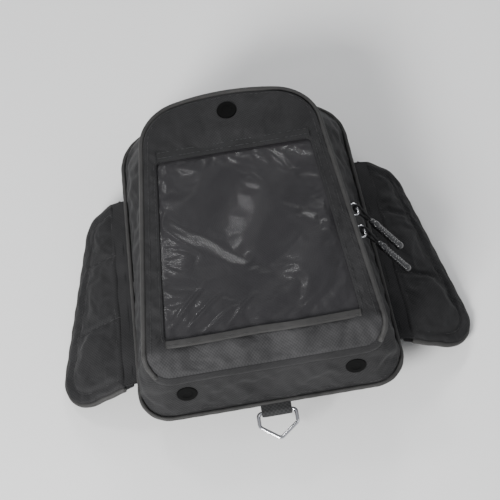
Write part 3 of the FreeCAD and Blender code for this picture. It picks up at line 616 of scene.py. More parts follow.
def wall_grid():
    """Rows run round the bag and columns climb outside, cross the rim and go down inside. The outside is the
    straight line from foot to rim plus a belly, sin of the height, plus folds."""
    climb = np.linspace(0, 1, WALL_STEPS)
    share = np.concatenate([climb, [1.012, 1.012], climb[::-1]])
    inset = np.concatenate([np.zeros(WALL_STEPS), [0.35, 0.65], np.ones(WALL_STEPS)]) * WALL_THICKNESS
    outer = np.where(np.arange(len(share)) < WALL_STEPS + 1, 1.0, 0.6)
    foot, rim_line = foot_ring[::2], rim_ring[::2]
    way = np.linspace(0, 1, len(foot), endpoint=False)[:, None]
    flat = foot[:, None] * (1 - share)[:, None] + rim_line[:, None] * share[:, None]
    normal = outward(foot)[:, None] * (1 - share)[:, None] + outward(rim_line)[:, None] * share[:, None]
    normal = unit(normal)
    rim = wall_high[2] + (fold_axis[2] - 0.5 * MM - wall_high[2]) * rear_rim(flat[..., 1])
    z = wall_low[2] + (rim - wall_low[2]) * np.clip(share, 0, 1.012)[None]
    points = np.dstack([flat, z])
    calm = 1 - np.clip(near_ports(points), 0, 1)
    rear = smooth(-flat[..., 1], 110 * MM, 128 * MM)
    arch = np.sin(math.pi * np.clip(share, 0, 1))
    belly = (BELLY + (REAR_BELLY - BELLY) * rear) * arch ** 0.8 * calm
    crease = folds(way, 3 * share[None], 0.55 * MM, 1.0) * arch ** 0.6 * calm
    corner = smooth(np.abs(flat[..., 0]), 70 * MM, 88 * MM) * smooth(-flat[..., 1], 92 * MM, 112 * MM)
    ridges = np.sin(flat[..., 1] / (2.7 * MM) + 5 * share[None])
    pucker = 1.1 * MM * corner * ridges * np.clip(share, 0, 1) ** 1.5
    push = (belly + crease + pucker) * outer[None] - inset[None]
    points[..., :2] += normal * push[..., None]
    return points


wall_points = wall_grid()
wall = surface("body_wall_cloth", wall_points, wrap_rows=True, wrap_columns=True)
column = np.arange(wall_points.shape[1])
held = np.broadcast_to((column < 2) | (column > WALL_STEPS - 3), wall_points.shape[:2])
held = held | (near_ports(wall_points) > 0.35)
inflate(wall, held.ravel(), 1.2, 0.035, 4 * MM)
smoother(wall)
finish(wall, nylon, "bag", "body_wall", "left_zipper_tab", "right_zipper_tab", slot="outer_nylon")

# %% [markdown]
# ## The padded base
# The base is a foam pad with a grippy cloth under it. It is a slab with a soft edge, so its section is
# drawn as a rounded rectangle from the middle of the top, out over the edge, and back to the middle of the
# underside.

# %% Base pad and floor lining
def pillow_grid(ring, low, high, bulge, edge, steps=14, centre=0.0):
    """A flat cushion over an outline. Columns run from the middle of the top to the middle of the underside;
    the edge is a half ellipse, the top rises toward the middle by the bulge and the underside is flat."""
    reach = np.linspace(0, 1, steps)
    turn = np.linspace(0.5 * math.pi, -0.5 * math.pi, 9)[1:-1]
    middle = 0.5 * (low + high)
    half = 0.5 * (high - low)
    normal = outward(ring)
    inner = ring - normal * edge
    top = centre + (inner - centre)[:, None] * reach[:, None]
    top_z = high + bulge * (1 - reach ** 2)
    side = inner[:, None] + normal[:, None] * (edge * np.cos(turn))[:, None]
    side_z = middle + half * np.sin(turn)
    flat = np.concatenate([top, side, top[:, ::-1]], axis=1)
    z = np.concatenate([top_z, side_z, np.full(steps, low)])
    return np.dstack([flat, np.broadcast_to(z, flat.shape[:2])])


pad_low, pad_high = corners("base_pad")
pad_ring = walk_round(vertices("base_pad")[:, :2], ROUND // 2)
PAD_EDGE = 1.6 * MM
pad_ring = pad_ring + outward(pad_ring) * PAD_EDGE
pad_grid = pillow_grid(pad_ring, pad_low[2], pad_high[2] - 0.1 * MM, 0, PAD_EDGE)
base_pad = close_poles(surface("base_pad_foam", pad_grid, wrap_rows=True))
finish(base_pad, grip_cloth, "bag", "base_pad", slot="base_fabric")
lining_low, lining_high = corners("floor_lining")
lining_ring = walk_round(vertices("floor_lining")[:, :2], ROUND // 2)
lining_grid = pillow_grid(lining_ring, lining_low[2], lining_high[2], 0.5 * MM, 0.7 * MM, 22)
floor_cloth = close_poles(surface("floor_lining_cloth", lining_grid, wrap_rows=True))
finish(floor_cloth, lining, "bag", "floor_lining", slot="lining_fabric")

# %% [markdown]
# ## Piping
# Every outer edge is finished with a cord rolled in lighter cloth. Each bead is a round section swept along
# the outline that the model gives, a radius inside its outermost vertices. The lid's bead does not stop at
# the top of the rear band but runs on down its two corners, as the cord on the sewn lid does.

# %% Piping beads
band_points = vertices("lid_rear_band")
band_rear = band_points[band_points[:, 1] < band_points[:, 1].min() + 0.5 * MM]
band_slope = (panel_high[2] - band_rear[:, 2].max()) / (panel_low[1] - band_rear[:, 1].mean())


def lid_plane(y):
    """Height of the lid's flat top, which slopes down behind the line where the rear band starts."""
    behind = np.maximum(panel_low[1] - y, 0)
    return panel_high[2] - band_slope * behind ** 2 / (behind + 3 * MM)


def bead_ring(name):
    """Middle line and radius of a bead, from its outermost vertices and its height."""
    low, high = corners(name)
    radius = 0.5 * (high[2] - low[2])
    ring = walk_round(vertices(name)[:, :2], ROUND)
    return ring - outward(ring) * radius, radius, 0.5 * (low[2] + high[2])


foot_bead, foot_radius, foot_z = bead_ring("base_piping")
wave = folds(np.linspace(0, 1, ROUND, endpoint=False), 0.0, 0.25 * MM, 1.7)
path = np.column_stack([foot_bead, foot_z + wave])
uneven = 1 + 0.05 * np.sin(np.arange(ROUND) * 0.9)
base_bead = tube("base_piping_bead", path, foot_radius * uneven, closed=True)
finish(base_bead, piping_cloth, "bag", "base_piping", slot="piping_nylon")

bead_low, bead_high = corners("lid_piping")
lid_radius = 0.55 * (bead_high[2] - bead_low[2]) + 0.2 * MM
bead_line = lid_ring + outward(lid_ring) * 0.75 * lid_radius
keep = bead_line[:, 1] > lid_ring[:, 1].min() + 3 * MM
path = np.column_stack([bead_line, lid_plane(bead_line[:, 1]) - 0.75 * lid_radius])[keep]
step_down = np.array([[-0.4, -0.3, -1.6], [-1.4, 0.4, -3.6]]) * MM
tail = path[-1] + step_down * np.array([-1, 1, 1])
path = np.vstack([path[:1] + step_down[::-1], path, tail])
corner_wave = 1 + 0.10 * np.sin(np.arange(len(path)) * 1.3) * smooth(-path[:, 1], 80 * MM, 105 * MM)
corner_wave[[0, -1]] = 0.6
lid_bead = tube("lid_piping_bead", path, lid_radius * corner_wave)
finish(lid_bead, piping_cloth, "lid", "lid_piping", slot="piping_nylon")

# %% [markdown]
# ## The lid
# The lid is a foam-filled frame of nylon around the window, with a band behind that slopes to the hinge
# crease. One closed grid makes it: rows follow the outline round, columns run in over the top to the window
# opening, turn down there and come back underneath. The opening's edge is found by looking from the middle
# of the lid along each row's direction, so the rows stay square to both edges.

# %% Lid skin
front_seam = corners("window_front_binding")
rear_seam = corners("window_rear_binding")
opening = np.array([[-rear_seam[1][0], rear_seam[1][1]], [rear_seam[1][0], rear_seam[1][1]],
                    [front_seam[1][0], front_seam[0][1]], [-front_seam[1][0], front_seam[0][1]]])
lid_middle = np.array([0.0, opening[:, 1].mean()])


def seen_from(middle, outline, ring, rounding):
    """Where the lines from a middle point to each ring point cross an outline, with the outline's corners
    eased by a few rounds of averaging."""
    dense = respaced(outline, 1440, True)
    for _ in range(rounding):
        dense = (np.roll(dense, 4, axis=0) + 2 * dense + np.roll(dense, -4, axis=0)) / 4
    spoke = dense - middle
    angle = np.arctan2(spoke[:, 1], spoke[:, 0])
    order = np.argsort(angle)
    wanted = np.arctan2(*(ring - middle).T[::-1])
    reach = np.interp(wanted, angle[order], np.linalg.norm(spoke, axis=1)[order], period=2 * math.pi)
    return middle + reach[:, None] * np.stack([np.cos(wanted), np.sin(wanted)], axis=1)


opening_ring = seen_from(lid_middle, opening, lid_ring, 6)


def lid_top(flat, edge_share):
    """Height of the lid's top: its plane, a foam crown that is lowest at both seams, and slow folds that are
    kept off the cable port."""
    calm = 1 - bump_at(flat, lid_port, 16 * MM)
    crown = np.sin(math.pi * np.clip(edge_share, 0, 1)) ** 0.6
    width = smooth(flat[..., 1], 40 * MM, 80 * MM)
    lump = (0.5 + 1.8 * width) * MM * crown
    wrinkle = 0.35 * MM * crown * (np.sin(flat[..., 0] / (9 * MM) + flat[..., 1] / (14 * MM))
                                   + 0.7 * np.sin(flat[..., 0] / (5.5 * MM) - flat[..., 1] / (8 * MM) + 1.0))
    return lid_plane(flat[..., 1]) + (lump + wrinkle) * calm


lid_port = np.mean(corners("lid_grommet"), axis=0)[:2]


def lid_grid():
    """Columns: rolled outer edge, top, hem dipped at the opening, edge down, and the underside back out."""
    across = np.linspace(0, 1, LID_STEPS)
    edge, hem = lid_ring[::2], opening_ring[::2]
    flat = edge[:, None] * (1 - across)[:, None] + hem[:, None] * across[:, None]
    gap = np.linalg.norm(hem - edge, axis=1)[:, None]
    from_edge = across[None] * gap
    to_hem = (1 - across[None]) * gap
    top = lid_top(flat, across[None])
    top = top - 1.3 * MM * np.exp(-from_edge / (1.6 * MM)) - 1.1 * MM * np.exp(-to_hem / (3 * MM))
    corner = smooth(np.abs(flat[..., 0]), 62 * MM, 84 * MM) * smooth(-flat[..., 1], 88 * MM, 108 * MM)
    angle = np.arctan2(flat[..., 1] + 96 * MM, np.abs(flat[..., 0]) - 70 * MM)
    top = top + 0.8 * MM * corner * np.sin(17 * angle)
    under = lid_plane(flat[..., 1]) - (panel_high[2] - panel_low[2])
    return np.concatenate([np.dstack([flat, top]), np.dstack([flat, under])[:, ::-1]], axis=1)


LID_STEPS = 24
lid_points = lid_grid()
lid_skin = surface("lid_top_cloth", lid_points, wrap_rows=True, wrap_columns=True)
column = np.arange(lid_points.shape[1])
held = np.broadcast_to((column < 2) | (column > LID_STEPS - 4), lid_points.shape[:2])
held = held | (bump_at(lid_points[..., :2], lid_port, 13 * MM) > 0.35)
inflate(lid_skin, held.ravel(), 1.2, 0.03, 3.5 * MM)
smoother(lid_skin)
finish(lid_skin, nylon_flat, "lid", "lid_panel", "lid_rear_band", slot="outer_nylon")


# %% Lid side band
BAND_STEPS = 10
BAND_THICKNESS = 2.2 * MM


def swept_wall(name, flat, normal, outsets, heights, closed):
    """A thin upright wall: each row is one closed section, given by how far out and how high its corners
    are."""
    points = np.dstack([flat[:, None] + normal[:, None] * outsets[..., None], heights])
    return surface(name, points, closed, True, cap=not closed)


def band_section():
    """Section of the side band: outside from its foot to the piping, and back down the inside."""
    climb = np.concatenate([np.linspace(0, 1, BAND_STEPS), np.linspace(1, 0, BAND_STEPS)])
    rear = rear_rim(lid_ring[:, 1])[:, None]
    low = band_foot - (band_foot - fold_axis[2] - 0.5 * MM) * rear
    high = lid_plane(lid_ring[:, 1])[:, None] - 1.6 * MM
    heights = low + (high - low) * climb[None]
    spread = np.linalg.norm(rim_ring - lid_ring, axis=1)[:, None] * (1 - climb[None])
    way = np.linspace(0, 1, ROUND, endpoint=False)[:, None]
    belly = 0.8 * MM * np.sin(math.pi * climb)[None] + folds(way, climb[None], 0.25 * MM, 2.2)
    corner = smooth(np.abs(lid_ring[:, 0]), 74 * MM, 88 * MM) * smooth(-lid_ring[:, 1], 86 * MM, 108 * MM)
    pucker = 0.6 * MM * corner[:, None] * np.sin(lid_ring[:, 1] / (2.6 * MM))[:, None] * (1 - climb[None])
    outside = np.arange(2 * BAND_STEPS) < BAND_STEPS
    outset = 0.4 * MM + spread * (0.25 + 0.75 * rear) + belly + pucker
    return np.where(outside, outset, outset - BAND_THICKNESS), heights


side_band = swept_wall("lid_side_cloth", lid_ring, outward(lid_ring), *band_section(), True)
finish(side_band, nylon, "lid", "lid_side_band", slot="outer_nylon")

# %% [markdown]
# ## The window
# A clear vinyl sheet is sewn under the opening. Vinyl that has been folded keeps its creases and bellies
# between its seams, and those ridges are what catch the light. The sheet is a grid over a trapezoid; its
# height is a slack belly, ripples that gather toward the rear seam, and a few creases, each a narrow bell
# across a straight line.

# %% Window sheet and its seams
window_low, window_high = corners("window")


def crease(x, y, start, end, width, height):
    """A ridge, or a trough if the height is negative, along the line from start to end, fading at both ends.
    All four are in millimetres."""
    start = np.asarray(start) * MM
    end = np.asarray(end) * MM
    line = end - start
    length = np.linalg.norm(line)
    line = line / length
    along = ((x - start[0]) * line[0] + (y - start[1]) * line[1]) / length
    off = (x - start[0]) * -line[1] + (y - start[1]) * line[0]
    fade = np.sin(math.pi * np.clip(along, 0, 1))
    return height * MM * fade * np.exp(-(off / (width * MM)) ** 2)


def window_grid():
    """Rows run from the rear seam to the front one."""
    v, u = np.meshgrid(np.linspace(0, 1, SHEET_ROWS), np.linspace(-1, 1, SHEET_COLUMNS), indexing="ij")
    y = window_low[1] + (window_high[1] - window_low[1]) * v
    half = (window_high[0] - 0.5 * MM) + (front_seam[1][0] - rear_seam[1][0]) * v
    x = half * u
    slack = (1 - u ** 4) * np.sin(math.pi * v) ** 0.5
    z = window_high[2] + 0.25 * MM + 1.9 * MM * slack
    gather = np.exp(-v / 0.13) * (1 - u ** 6)
    z = z + gather * MM * (0.55 * np.sin(x / (4.2 * MM) + 2 * np.sin(y / (9 * MM)))
                           + 0.35 * np.sin(x / (2.3 * MM) + 1.7))
    z = z + slack * MM * (0.45 * np.sin(x / (19 * MM) + y / (31 * MM))
                          + 0.3 * np.sin(x / (11 * MM) - y / (17 * MM)))
    for line in WINDOW_CREASES:
        z = z + crease(x, y, *line)
    z = np.maximum(z, window_low[2])
    return np.dstack([x, y, z])


SHEET_ROWS = 110
SHEET_COLUMNS = 104
WINDOW_CREASES = (
    ((-74, 22), (0, -46), 6.5, -0.4),
    ((-74, 10), (-8, -56), 5.0, 0.3),
    ((64, 12), (76, -46), 2.6, -0.7),
    ((58, 8), (70, -50), 2.8, 0.5),
    ((-70, -92), (-38, -56), 2.0, 1.3),
    ((-62, -98), (-26, -66), 1.6, 1.4),
    ((-48, -100), (-18, -80), 1.5, 1.1),
    ((-30, -102), (-2, -70), 1.8, 0.8),
    ((20, -100), (54, -78), 2.4, 0.4),
    ((24, 62), (44, 30), 3.0, 0.4),
)
window_points = window_grid()
window = surface("window_vinyl", window_points)
face_toward(window, (0, 0, 1))
held = np.ones(window_points.shape[:2], bool)
held[6:-5, 5:-5] = False
inflate(window, held.ravel(), 0.5, 0.007, 2.5 * MM)
smoother(window)
thicken(window, window_high[2] - window_low[2])
finish(window, vinyl, "lid", "window", slot="clear_vinyl")


def strap(name, path, side, top, width, thickness, crown=0.0, columns=17):
    """A flat band with rounded edges carried along a path: a superellipse section, wider than thick."""
    turn = np.linspace(0, 2 * math.pi, 2 * columns, endpoint=False)
    wide = 0.5 * width * squared(np.cos(turn), 0.35)
    thick = 0.5 * thickness * squared(np.sin(turn), 0.6) + crown * (1 - (wide / (0.5 * width)) ** 2)
    side = np.broadcast_to(side, path.shape)
    top = np.broadcast_to(top, path.shape)
    points = path[:, None] + wide[:, None] * side[:, None] + thick[:, None] * top[:, None]
    return surface(name, points, False, True, cap=True)


def window_seam(name, node, thickness, crown, seed):
    """A folded strip across the lid, following its top with a little waviness."""
    low, high = corners(node)
    x = np.linspace(low[0], high[0], 90)
    y = 0.5 * (low[1] + high[1]) + 0.35 * MM * np.sin(x / (13 * MM) + seed)
    z = low[2] + 0.35 * MM + 0.2 * MM * np.sin(x / (7 * MM) + seed)
    path = np.stack([x, y, z], axis=1)
    return strap(name, path, (0, 1, 0), (0, 0, 1), high[1] - low[1], thickness, crown)


front_strip = window_seam("window_front_seam", "window_front_binding", 1.0 * MM, 0.2 * MM, 0.4)
rear_strip = window_seam("window_rear_seam", "window_rear_binding", 1.5 * MM, 0.5 * MM, 2.1)
finish(front_strip, tape_cloth, "lid", "window_front_binding", slot="binding_tape")
finish(rear_strip, piping_cloth, "lid", "window_rear_binding", slot="binding_tape")

# %% [markdown]
# ## The zipper
# A coil zipper is two woven tapes, each with a nylon spiral sewn along its edge. The spiral could be faked
# with a bump, but it is the one part of a bag everybody knows by its teeth, so it is a real helix: a thin
# round wire turning about the tape's edge, a turn every one and a half millimetres.

# %% Tapes and coils
TAPE_STEPS = 12
TAPE_THICKNESS = 0.9 * MM
COIL_PITCH = 1.5 * MM
COIL_WIRE = 0.27 * MM
STEPS_PER_TURN = 9


def zipper_run(name):
    """Outer line of a zipper part, from its right rear end round the front to its left rear end, its outward
    directions and its heights."""
    low, high = corners(name)
    ring = walk_round(vertices(name)[:, :2], ROUND)
    keep = ring[:, 1] > zip_rear + 0.5 * MM
    run = np.hstack([ring, outward(ring)])[keep]
    return respaced(run, 2 * ROUND, False), low[2], high[2]


def zipper_tape(name, node, body, coil_up):
    """A thin strip with fine ribs along it, a little wavy, thicker where the coil is sewn on."""
    run, low, high = zipper_run(node)
    climb = np.concatenate([np.linspace(0, 1, TAPE_STEPS), np.linspace(1, 0, TAPE_STEPS)])
    toward = climb if coil_up else 1 - climb
    way = np.linspace(0, 1, len(run))[:, None]
    rib = 0.10 * MM * np.sin(climb * 40) + folds(way, 0.0, 0.12 * MM, 1.3)
    swell = 0.25 * MM * smooth(toward, 0.55, 0.8)
    outside = np.arange(2 * TAPE_STEPS) < TAPE_STEPS
    outset = np.where(outside, rib + swell, -TAPE_THICKNESS)
    normal = unit(run[:, 2:])
    heights = np.broadcast_to(low + (high - low) * climb[None], outset.shape)
    piece = swept_wall(name, run[:, :2], normal, outset, heights, False)
    return finish(piece, tape_cloth, body, node, slot="binding_tape")


def zipper_coil(name, node, body, start):
    """A helix about the tape's edge: radius times cosine outward, radius times sine up, one turn a pitch."""
    run, low, high = zipper_run(node)
    radius = 0.5 * (high - low)
    length = np.linalg.norm(np.diff(run[:, :2], axis=0), axis=1).sum()
    turns = int(length / COIL_PITCH)
    run = respaced(run, STEPS_PER_TURN * turns, False)
    normal = np.column_stack([unit(run[:, 2:]), np.zeros(len(run))])
    centre = np.column_stack([run[:, :2], np.full(len(run), 0.5 * (low + high))]) - normal * radius
    phase = np.linspace(0, 2 * math.pi * turns, len(run))[:, None] + start
    spoke = np.cos(phase) * normal + np.sin(phase) * np.array([0, 0, 1.0])
    path = centre + (radius - COIL_WIRE) * spoke
    other = np.cross(unit(np.gradient(path, axis=0)), spoke)
    turn = np.linspace(0, 2 * math.pi, 5, endpoint=False)
    points = path[:, None] + COIL_WIRE * (np.cos(turn)[:, None] * spoke[:, None]
                                          + np.sin(turn)[:, None] * other[:, None])
    piece = surface(name, points, False, True, cap=True)
    return finish(piece, coil_plastic, body, node, slot="zipper_coil")


zipper_tape("lower_tape", "lower_zipper_tape", "bag", True)
zipper_tape("upper_tape", "upper_zipper_tape", "lid", False)
zipper_coil("lower_coil", "lower_zipper_coil", "bag", 0.0)
zipper_coil("upper_coil", "upper_zipper_coil", "lid", math.pi)

# %% [markdown]
# ## Parts kept from the engineering model
# The grommets, ring, cords, board, magnets and fastener strips are parts whose real shape is already there.
# They are shown as they are and only get a finish. None of them has UVs, so their patterns follow the
# object's own coordinates.

# %% Finishes for the kept parts
def dress(material, slot, *names):
    """Gives nodes of the model a finish."""
    for name in names:
        node = frame["nodes"][name]
        node.data.materials.clear()
        node.data.materials.append(material)
        print("%-24s kept from the model" % name)


dress(rubber, "grommet_rubber", "lid_grommet", "left_rear_grommet", "right_rear_grommet")
dress(chrome, "ring_chrome", "tether_ring")
dress(magnet_plate, "magnet_steel", "left_rear_magnet", "left_front_magnet", "right_rear_magnet",
      "right_front_magnet")
dress(fleece, "hook_and_loop", "hook_strip", "loop_strip")
dress(board_plastic, "stiffener", "base_board")
dress(cord_weave, "pull_cord", "front_pull_cord", "rear_pull_cord")

# %% [markdown]
# ## Lips and painted hole shade in the grommets
# A cable grommet's hole is closed by soft lips that part round the cable. The hole could be left open, but
# then the padding behind it would show; a shallow dish of near-black rubber just below the rim closes it,
# standing for the lips and, as painted shade, for the dark inside of the hole, and takes its shadow.

# %% Grommet lips and painted hole shade
LIP_DEPTH = 0.15 * MM
LIP_SAG = 0.25 * MM
LIP_THICKNESS = 0.6 * MM


def grommet_lips_and_hole_shade(node, body):
    """A near-black rubber dish of radius by angle, standing for the lips and, as painted shade, for the dark
    inside of the hole; it lies across the grommet's own axis, which is the direction its vertices spread
    least."""
    points = vertices(node)
    middle = 0.5 * (points.min(axis=0) + points.max(axis=0))
    axes = np.linalg.svd(points - middle, full_matrices=False)[2]
    axes[2] *= np.sign(axes[2] @ np.array([0, -1, 1]))
    local = (points - middle) @ axes.T
    inner = np.linalg.norm(local[:, :2], axis=1).min() + 0.3 * MM
    turn = np.linspace(0, 2 * math.pi, 40, endpoint=False)
    share = np.linspace(0, 1, 8)[:, None]
    depth = local[:, 2].max() - LIP_DEPTH - LIP_SAG * (1 - share ** 2)
    flat = share[..., None] * inner * np.stack([np.cos(turn), np.sin(turn)], axis=1)
    dish = np.dstack([flat, np.broadcast_to(depth, flat.shape[:2])])
    piece = close_poles(surface(node + "_lips_and_hole_shade", middle + dish @ axes, False, True))
    face_toward(piece, axes[2])
    thicken(piece, LIP_THICKNESS)
    finish(piece, rubber, body, slot="grommet_rubber")


for node, body in (("lid_grommet", "lid"), ("left_rear_grommet", "bag"), ("right_rear_grommet", "bag")):
    grommet_lips_and_hole_shade(node, body)

# %% [markdown]
# ## Zipper sliders
# A slider is a die-cast shell with a waist: two wings part the coils and one holds them together. Its
# outside is a domed plate, the coils run through a channel behind it, and a wire bail takes the pull's
# cord.

# %% Sliders
PLATE_BACK = 2.2 * MM
PLATE_FRONT = 3.6 * MM
PLATE_CROWN = 0.5 * MM
BAIL_WIRE = 0.75 * MM
BAIL_BEND = 1.6 * MM


def slider_frame(name):
    """Middle of a slider on the zipper line, and unit rows: outward, along the zipper and up."""
    along = unit(np.array(joint(name + "_slide")["axis"]))
    axes = np.array([(along[1], -along[0], 0), along, (0, 0, 1)])
    local = vertices(name) @ axes.T
    middle = 0.5 * (local.min(axis=0) + local.max(axis=0))
    middle[0] = local[:, 0].min()
    return middle @ axes, axes, local.max(axis=0) - local.min(axis=0)


def zipper_slider(name):
    """A domed plate with a waist, and a bail: a wire bent out from one end of the plate and back to the
    other."""
    origin, axes, reach = slider_frame(name)
    turn = np.linspace(0, 2 * math.pi, 72, endpoint=False)
    half = 0.5 * reach[1]
    tall = 0.5 * reach[2]
    along = half * squared(np.cos(turn), 0.7)
    waist = 1 - 0.22 * np.exp(-((along / half + 0.15) / 0.35) ** 2) - 0.18 * smooth(-along / half, 0.5, 1.0)
    up = tall * squared(np.sin(turn), 0.6) * waist
    ring = np.stack([along, up], axis=1)
    face = pillow_grid(ring, PLATE_BACK, PLATE_FRONT, PLATE_CROWN, PLATE_CROWN, 8)
    local = face[..., [2, 0, 1]]
    plate = close_poles(surface(name + "_plate", origin + local @ axes, wrap_rows=True))
    finish(plate, chrome, name, name, slot="slider_metal")
    bar = reach[0] - BAIL_WIRE
    foot = half - BAIL_WIRE
    bend = np.linspace(0, 0.5 * math.pi, 9)
    first = np.stack([bar - BAIL_BEND * (1 - np.sin(bend)), BAIL_BEND * (1 - np.cos(bend)) - foot], axis=1)
    last = first[::-1] * np.array([1, -1])
    flat = respaced(np.vstack([[PLATE_BACK, -foot], first, last, [PLATE_BACK, foot]]), 60, False)
    path = origin + np.column_stack([flat, np.zeros(60)]) @ axes
    bail = tube(name + "_bail", path, BAIL_WIRE)
    finish(bail, chrome, name, slot="slider_metal")


for name in ("front_slider", "rear_slider"):
    zipper_slider(name)

# %% [markdown]
# ## Pull grips
# Each cord ends in a moulded grip with ribs for gloved fingers. Its line comes from the model: the longest
# direction of the node's vertices. The profile is turned about that line.

# %% Ribbed grips
GRIP_RADIUS = 3.3 * MM
GRIP_RIBS = 15


def main_axis(points):
    """Middle and the direction in which the points spread most."""
    middle = 0.5 * (points.min(axis=0) + points.max(axis=0))
    direction = np.linalg.svd(points - points.mean(axis=0), full_matrices=False)[2][0]
    along = (points - middle) @ direction
    middle = middle + direction * 0.5 * (along.min() + along.max())
    return middle, direction, 0.5 * (along.max() - along.min())


def pull_grip(name, node, body):
    """A turned grip: radius is a rounded cylinder with a row of shallow ribs and a collar where the cord
    enters."""
    middle, direction, half = main_axis(vertices(node))
    direction = direction * np.sign(-direction[2])
    share = np.concatenate([[0, 0.004, 0.02], np.linspace(0.05, 0.95, 90), [0.98, 0.996, 1]])
    radius = GRIP_RADIUS * np.minimum(1, np.sqrt(np.clip(1 - np.abs(2 * share - 1) ** 14, 0, 1)) + 0.02)
    ribbed = smooth(share, 0.2, 0.26) * smooth(1 - share, 0.1, 0.16)
    radius = radius * (1 - 0.16 * ribbed * (0.5 + 0.5 * np.cos(share * 2 * math.pi * GRIP_RIBS)) ** 0.5)
    radius = radius * (1 - 0.18 * smooth(0.16 - share, 0, 0.05))
    path = middle + np.outer(2 * share - 1, direction) * half
    side = unit(np.cross(direction, (0, 0, 1)))
    top = np.cross(side, direction)
    turn = np.linspace(0, 2 * math.pi, 28, endpoint=False)
    around = np.cos(turn)[:, None] * side + np.sin(turn)[:, None] * top
    points = path[:, None] + radius[:, None, None] * around
    piece = surface(name, points, False, True, cap=True)
    finish(piece, grip_plastic, body, node, slot="pull_grip")


for end in ("front", "rear"):
    pull_grip(end + "_grip", end + "_pull_grip", end + "_pull")

# %% [markdown]
# ## The wings
# Two padded wings with magnets in them drape down the tank. A wing could be one flat slab, but a sewn pad
# rises between its seams and is pulled down along them. Each pad is a patch stretched between four edges,
# given slack and blown up by a cloth simulation while its seams are held, which makes the small wrinkles
# that run into every seam. The seams are placed clear of the magnets, as a maker would have to place them.

# %% Wing frames
def wing_frame(side):
    """Origin on the fold line and a 3 by 3 of unit rows: outward, forward and up out of the wing."""
    hinge = joint(side + "_wing_hinge")
    forward = np.array(hinge["axis"]) * np.sign(hinge["axis"][1])
    lining_points = vertices(side + "_wing_lining")
    up = np.linalg.svd(lining_points - lining_points.mean(axis=0), full_matrices=False)[2][2]
    up = up * np.sign(up[2])
    out = np.cross(forward, up)
    out = out * np.sign(out[0])
    if side == "left":
        out = -out
    return np.array(hinge["pos_m"]), np.array([out, forward, up])


def on_wing(side, node):
    """A wing's origin and directions, and the vertices of one of its nodes in those directions."""
    origin, axes = wing_frame(side)
    return origin, axes, (vertices(side + node) - origin) @ axes.T


def coons(ring, corner_places, rows, columns):
    """A patch between four edges of a closed outline: the two lofts between opposite edges, less the flat
    patch through the corners."""
    places = [int(np.argmin(np.sum((ring - np.array(place)) ** 2, axis=1))) for place in corner_places]
    count = len(ring)

    def edge(first, last, steps):
        span = (last - first) % count
        way = (first + np.linspace(0, span, steps)) % count
        return np.stack([np.interp(way, np.arange(count + 1), np.append(ring[:, axis], ring[0, axis]))
                         for axis in (0, 1)], axis=1)

    a, b, c, d = places
    near = edge(a, b, columns)
    far = edge(d, c, columns) if (c - d) % count < count / 2 else edge(c, d, columns)[::-1]
    left = edge(a, d, rows) if (d - a) % count < count / 2 else edge(d, a, rows)[::-1]
    right = edge(b, c, rows)
    s = np.linspace(0, 1, rows)[:, None, None]
    t = np.linspace(0, 1, columns)[None, :, None]
    loft = (1 - s) * near[None] + s * far[None] + (1 - t) * left[:, None] + t * right[:, None]
    flat = (1 - s) * ((1 - t) * near[0] + t * near[-1]) + s * ((1 - t) * far[0] + t * far[-1])
    return loft - flat


def polyline_gap(points, line):
    """Distance from each flat point to the nearest point of a densely stepped line."""
    gap = points.reshape(-1, 1, 2) - line[None]
    return np.sqrt((gap ** 2).sum(axis=2).min(axis=1)).reshape(points.shape[:-1])


HEM = 8.5 * MM
WING_ROWS = 64
WING_COLUMNS = 30
MAGNET_MARGIN = 3 * MM
MAGNET_COVER = 0.9 * MM


def wing_seams(side, origin, axes):
    """Where along the wing the two cross seams run: midway between the magnets, and just before the front
    one."""
    spans = {}
    for magnet in ("front", "rear"):
        along = (vertices("%s_%s_magnet" % (side, magnet)) - origin) @ axes[1]
        spans[magnet] = (along.min(), along.max())
    return 0.5 * (spans["front"][0] + spans["rear"][1]), spans["front"][1] + 7 * MM


def wing_lines(ring, seams, fold):
    """Stitch lines on the flat wing: along the free edge, and across at both seams, each leaning as the ends
    do."""
    inner = ring - outward(ring) * HEM
    free = inner[(inner[:, 0] > fold + 1.5 * HEM) | (ring[:, 0] > fold + 0.5 * HEM)]
    free = free[free[:, 0] > fold]
    across = []
    for place in seams:
        reach = inner[np.abs(inner[:, 1] - place) < 3 * MM][:, 0].max()
        u = np.linspace(fold, reach, 60)
        across.append(np.stack([u, place - 0.10 * (u - fold)], axis=1))
    return free, across


def set_flat_uv(piece, origin, axes):
    """The cloth's pattern follows the flat wing."""
    mesh = piece.data
    flat = (mesh_points(mesh) - origin) @ axes[:2].T
    corner = np.empty(len(mesh.loops), int)
    mesh.loops.foreach_get("vertex_index", corner)
    mesh.uv_layers[0].data.foreach_set("uv", flat[corner].astype(np.float32).ravel())


def clear_magnets(piece, side, origin, axes):
    """Lifts the top of the pad where a wrinkle would dip below a magnet."""
    mesh = piece.data
    local = (mesh_points(mesh) - origin) @ axes.T
    upper = local[:, 2] > local[:, 2].min() + 1 * MM
    for which in ("front", "rear"):
        magnet = (vertices("%s_%s_magnet" % (side, which)) - origin) @ axes.T
        low = magnet.min(axis=0) - MAGNET_MARGIN
        high = magnet.max(axis=0) + MAGNET_MARGIN
        over = upper & np.all((local[:, :2] > low[:2]) & (local[:, :2] < high[:2]), axis=1)
        local[over, 2] = np.maximum(local[over, 2], magnet[:, 2].max() + MAGNET_COVER)
    mesh.vertices.foreach_set("co", (origin + local @ axes).ravel())
    mesh.update()


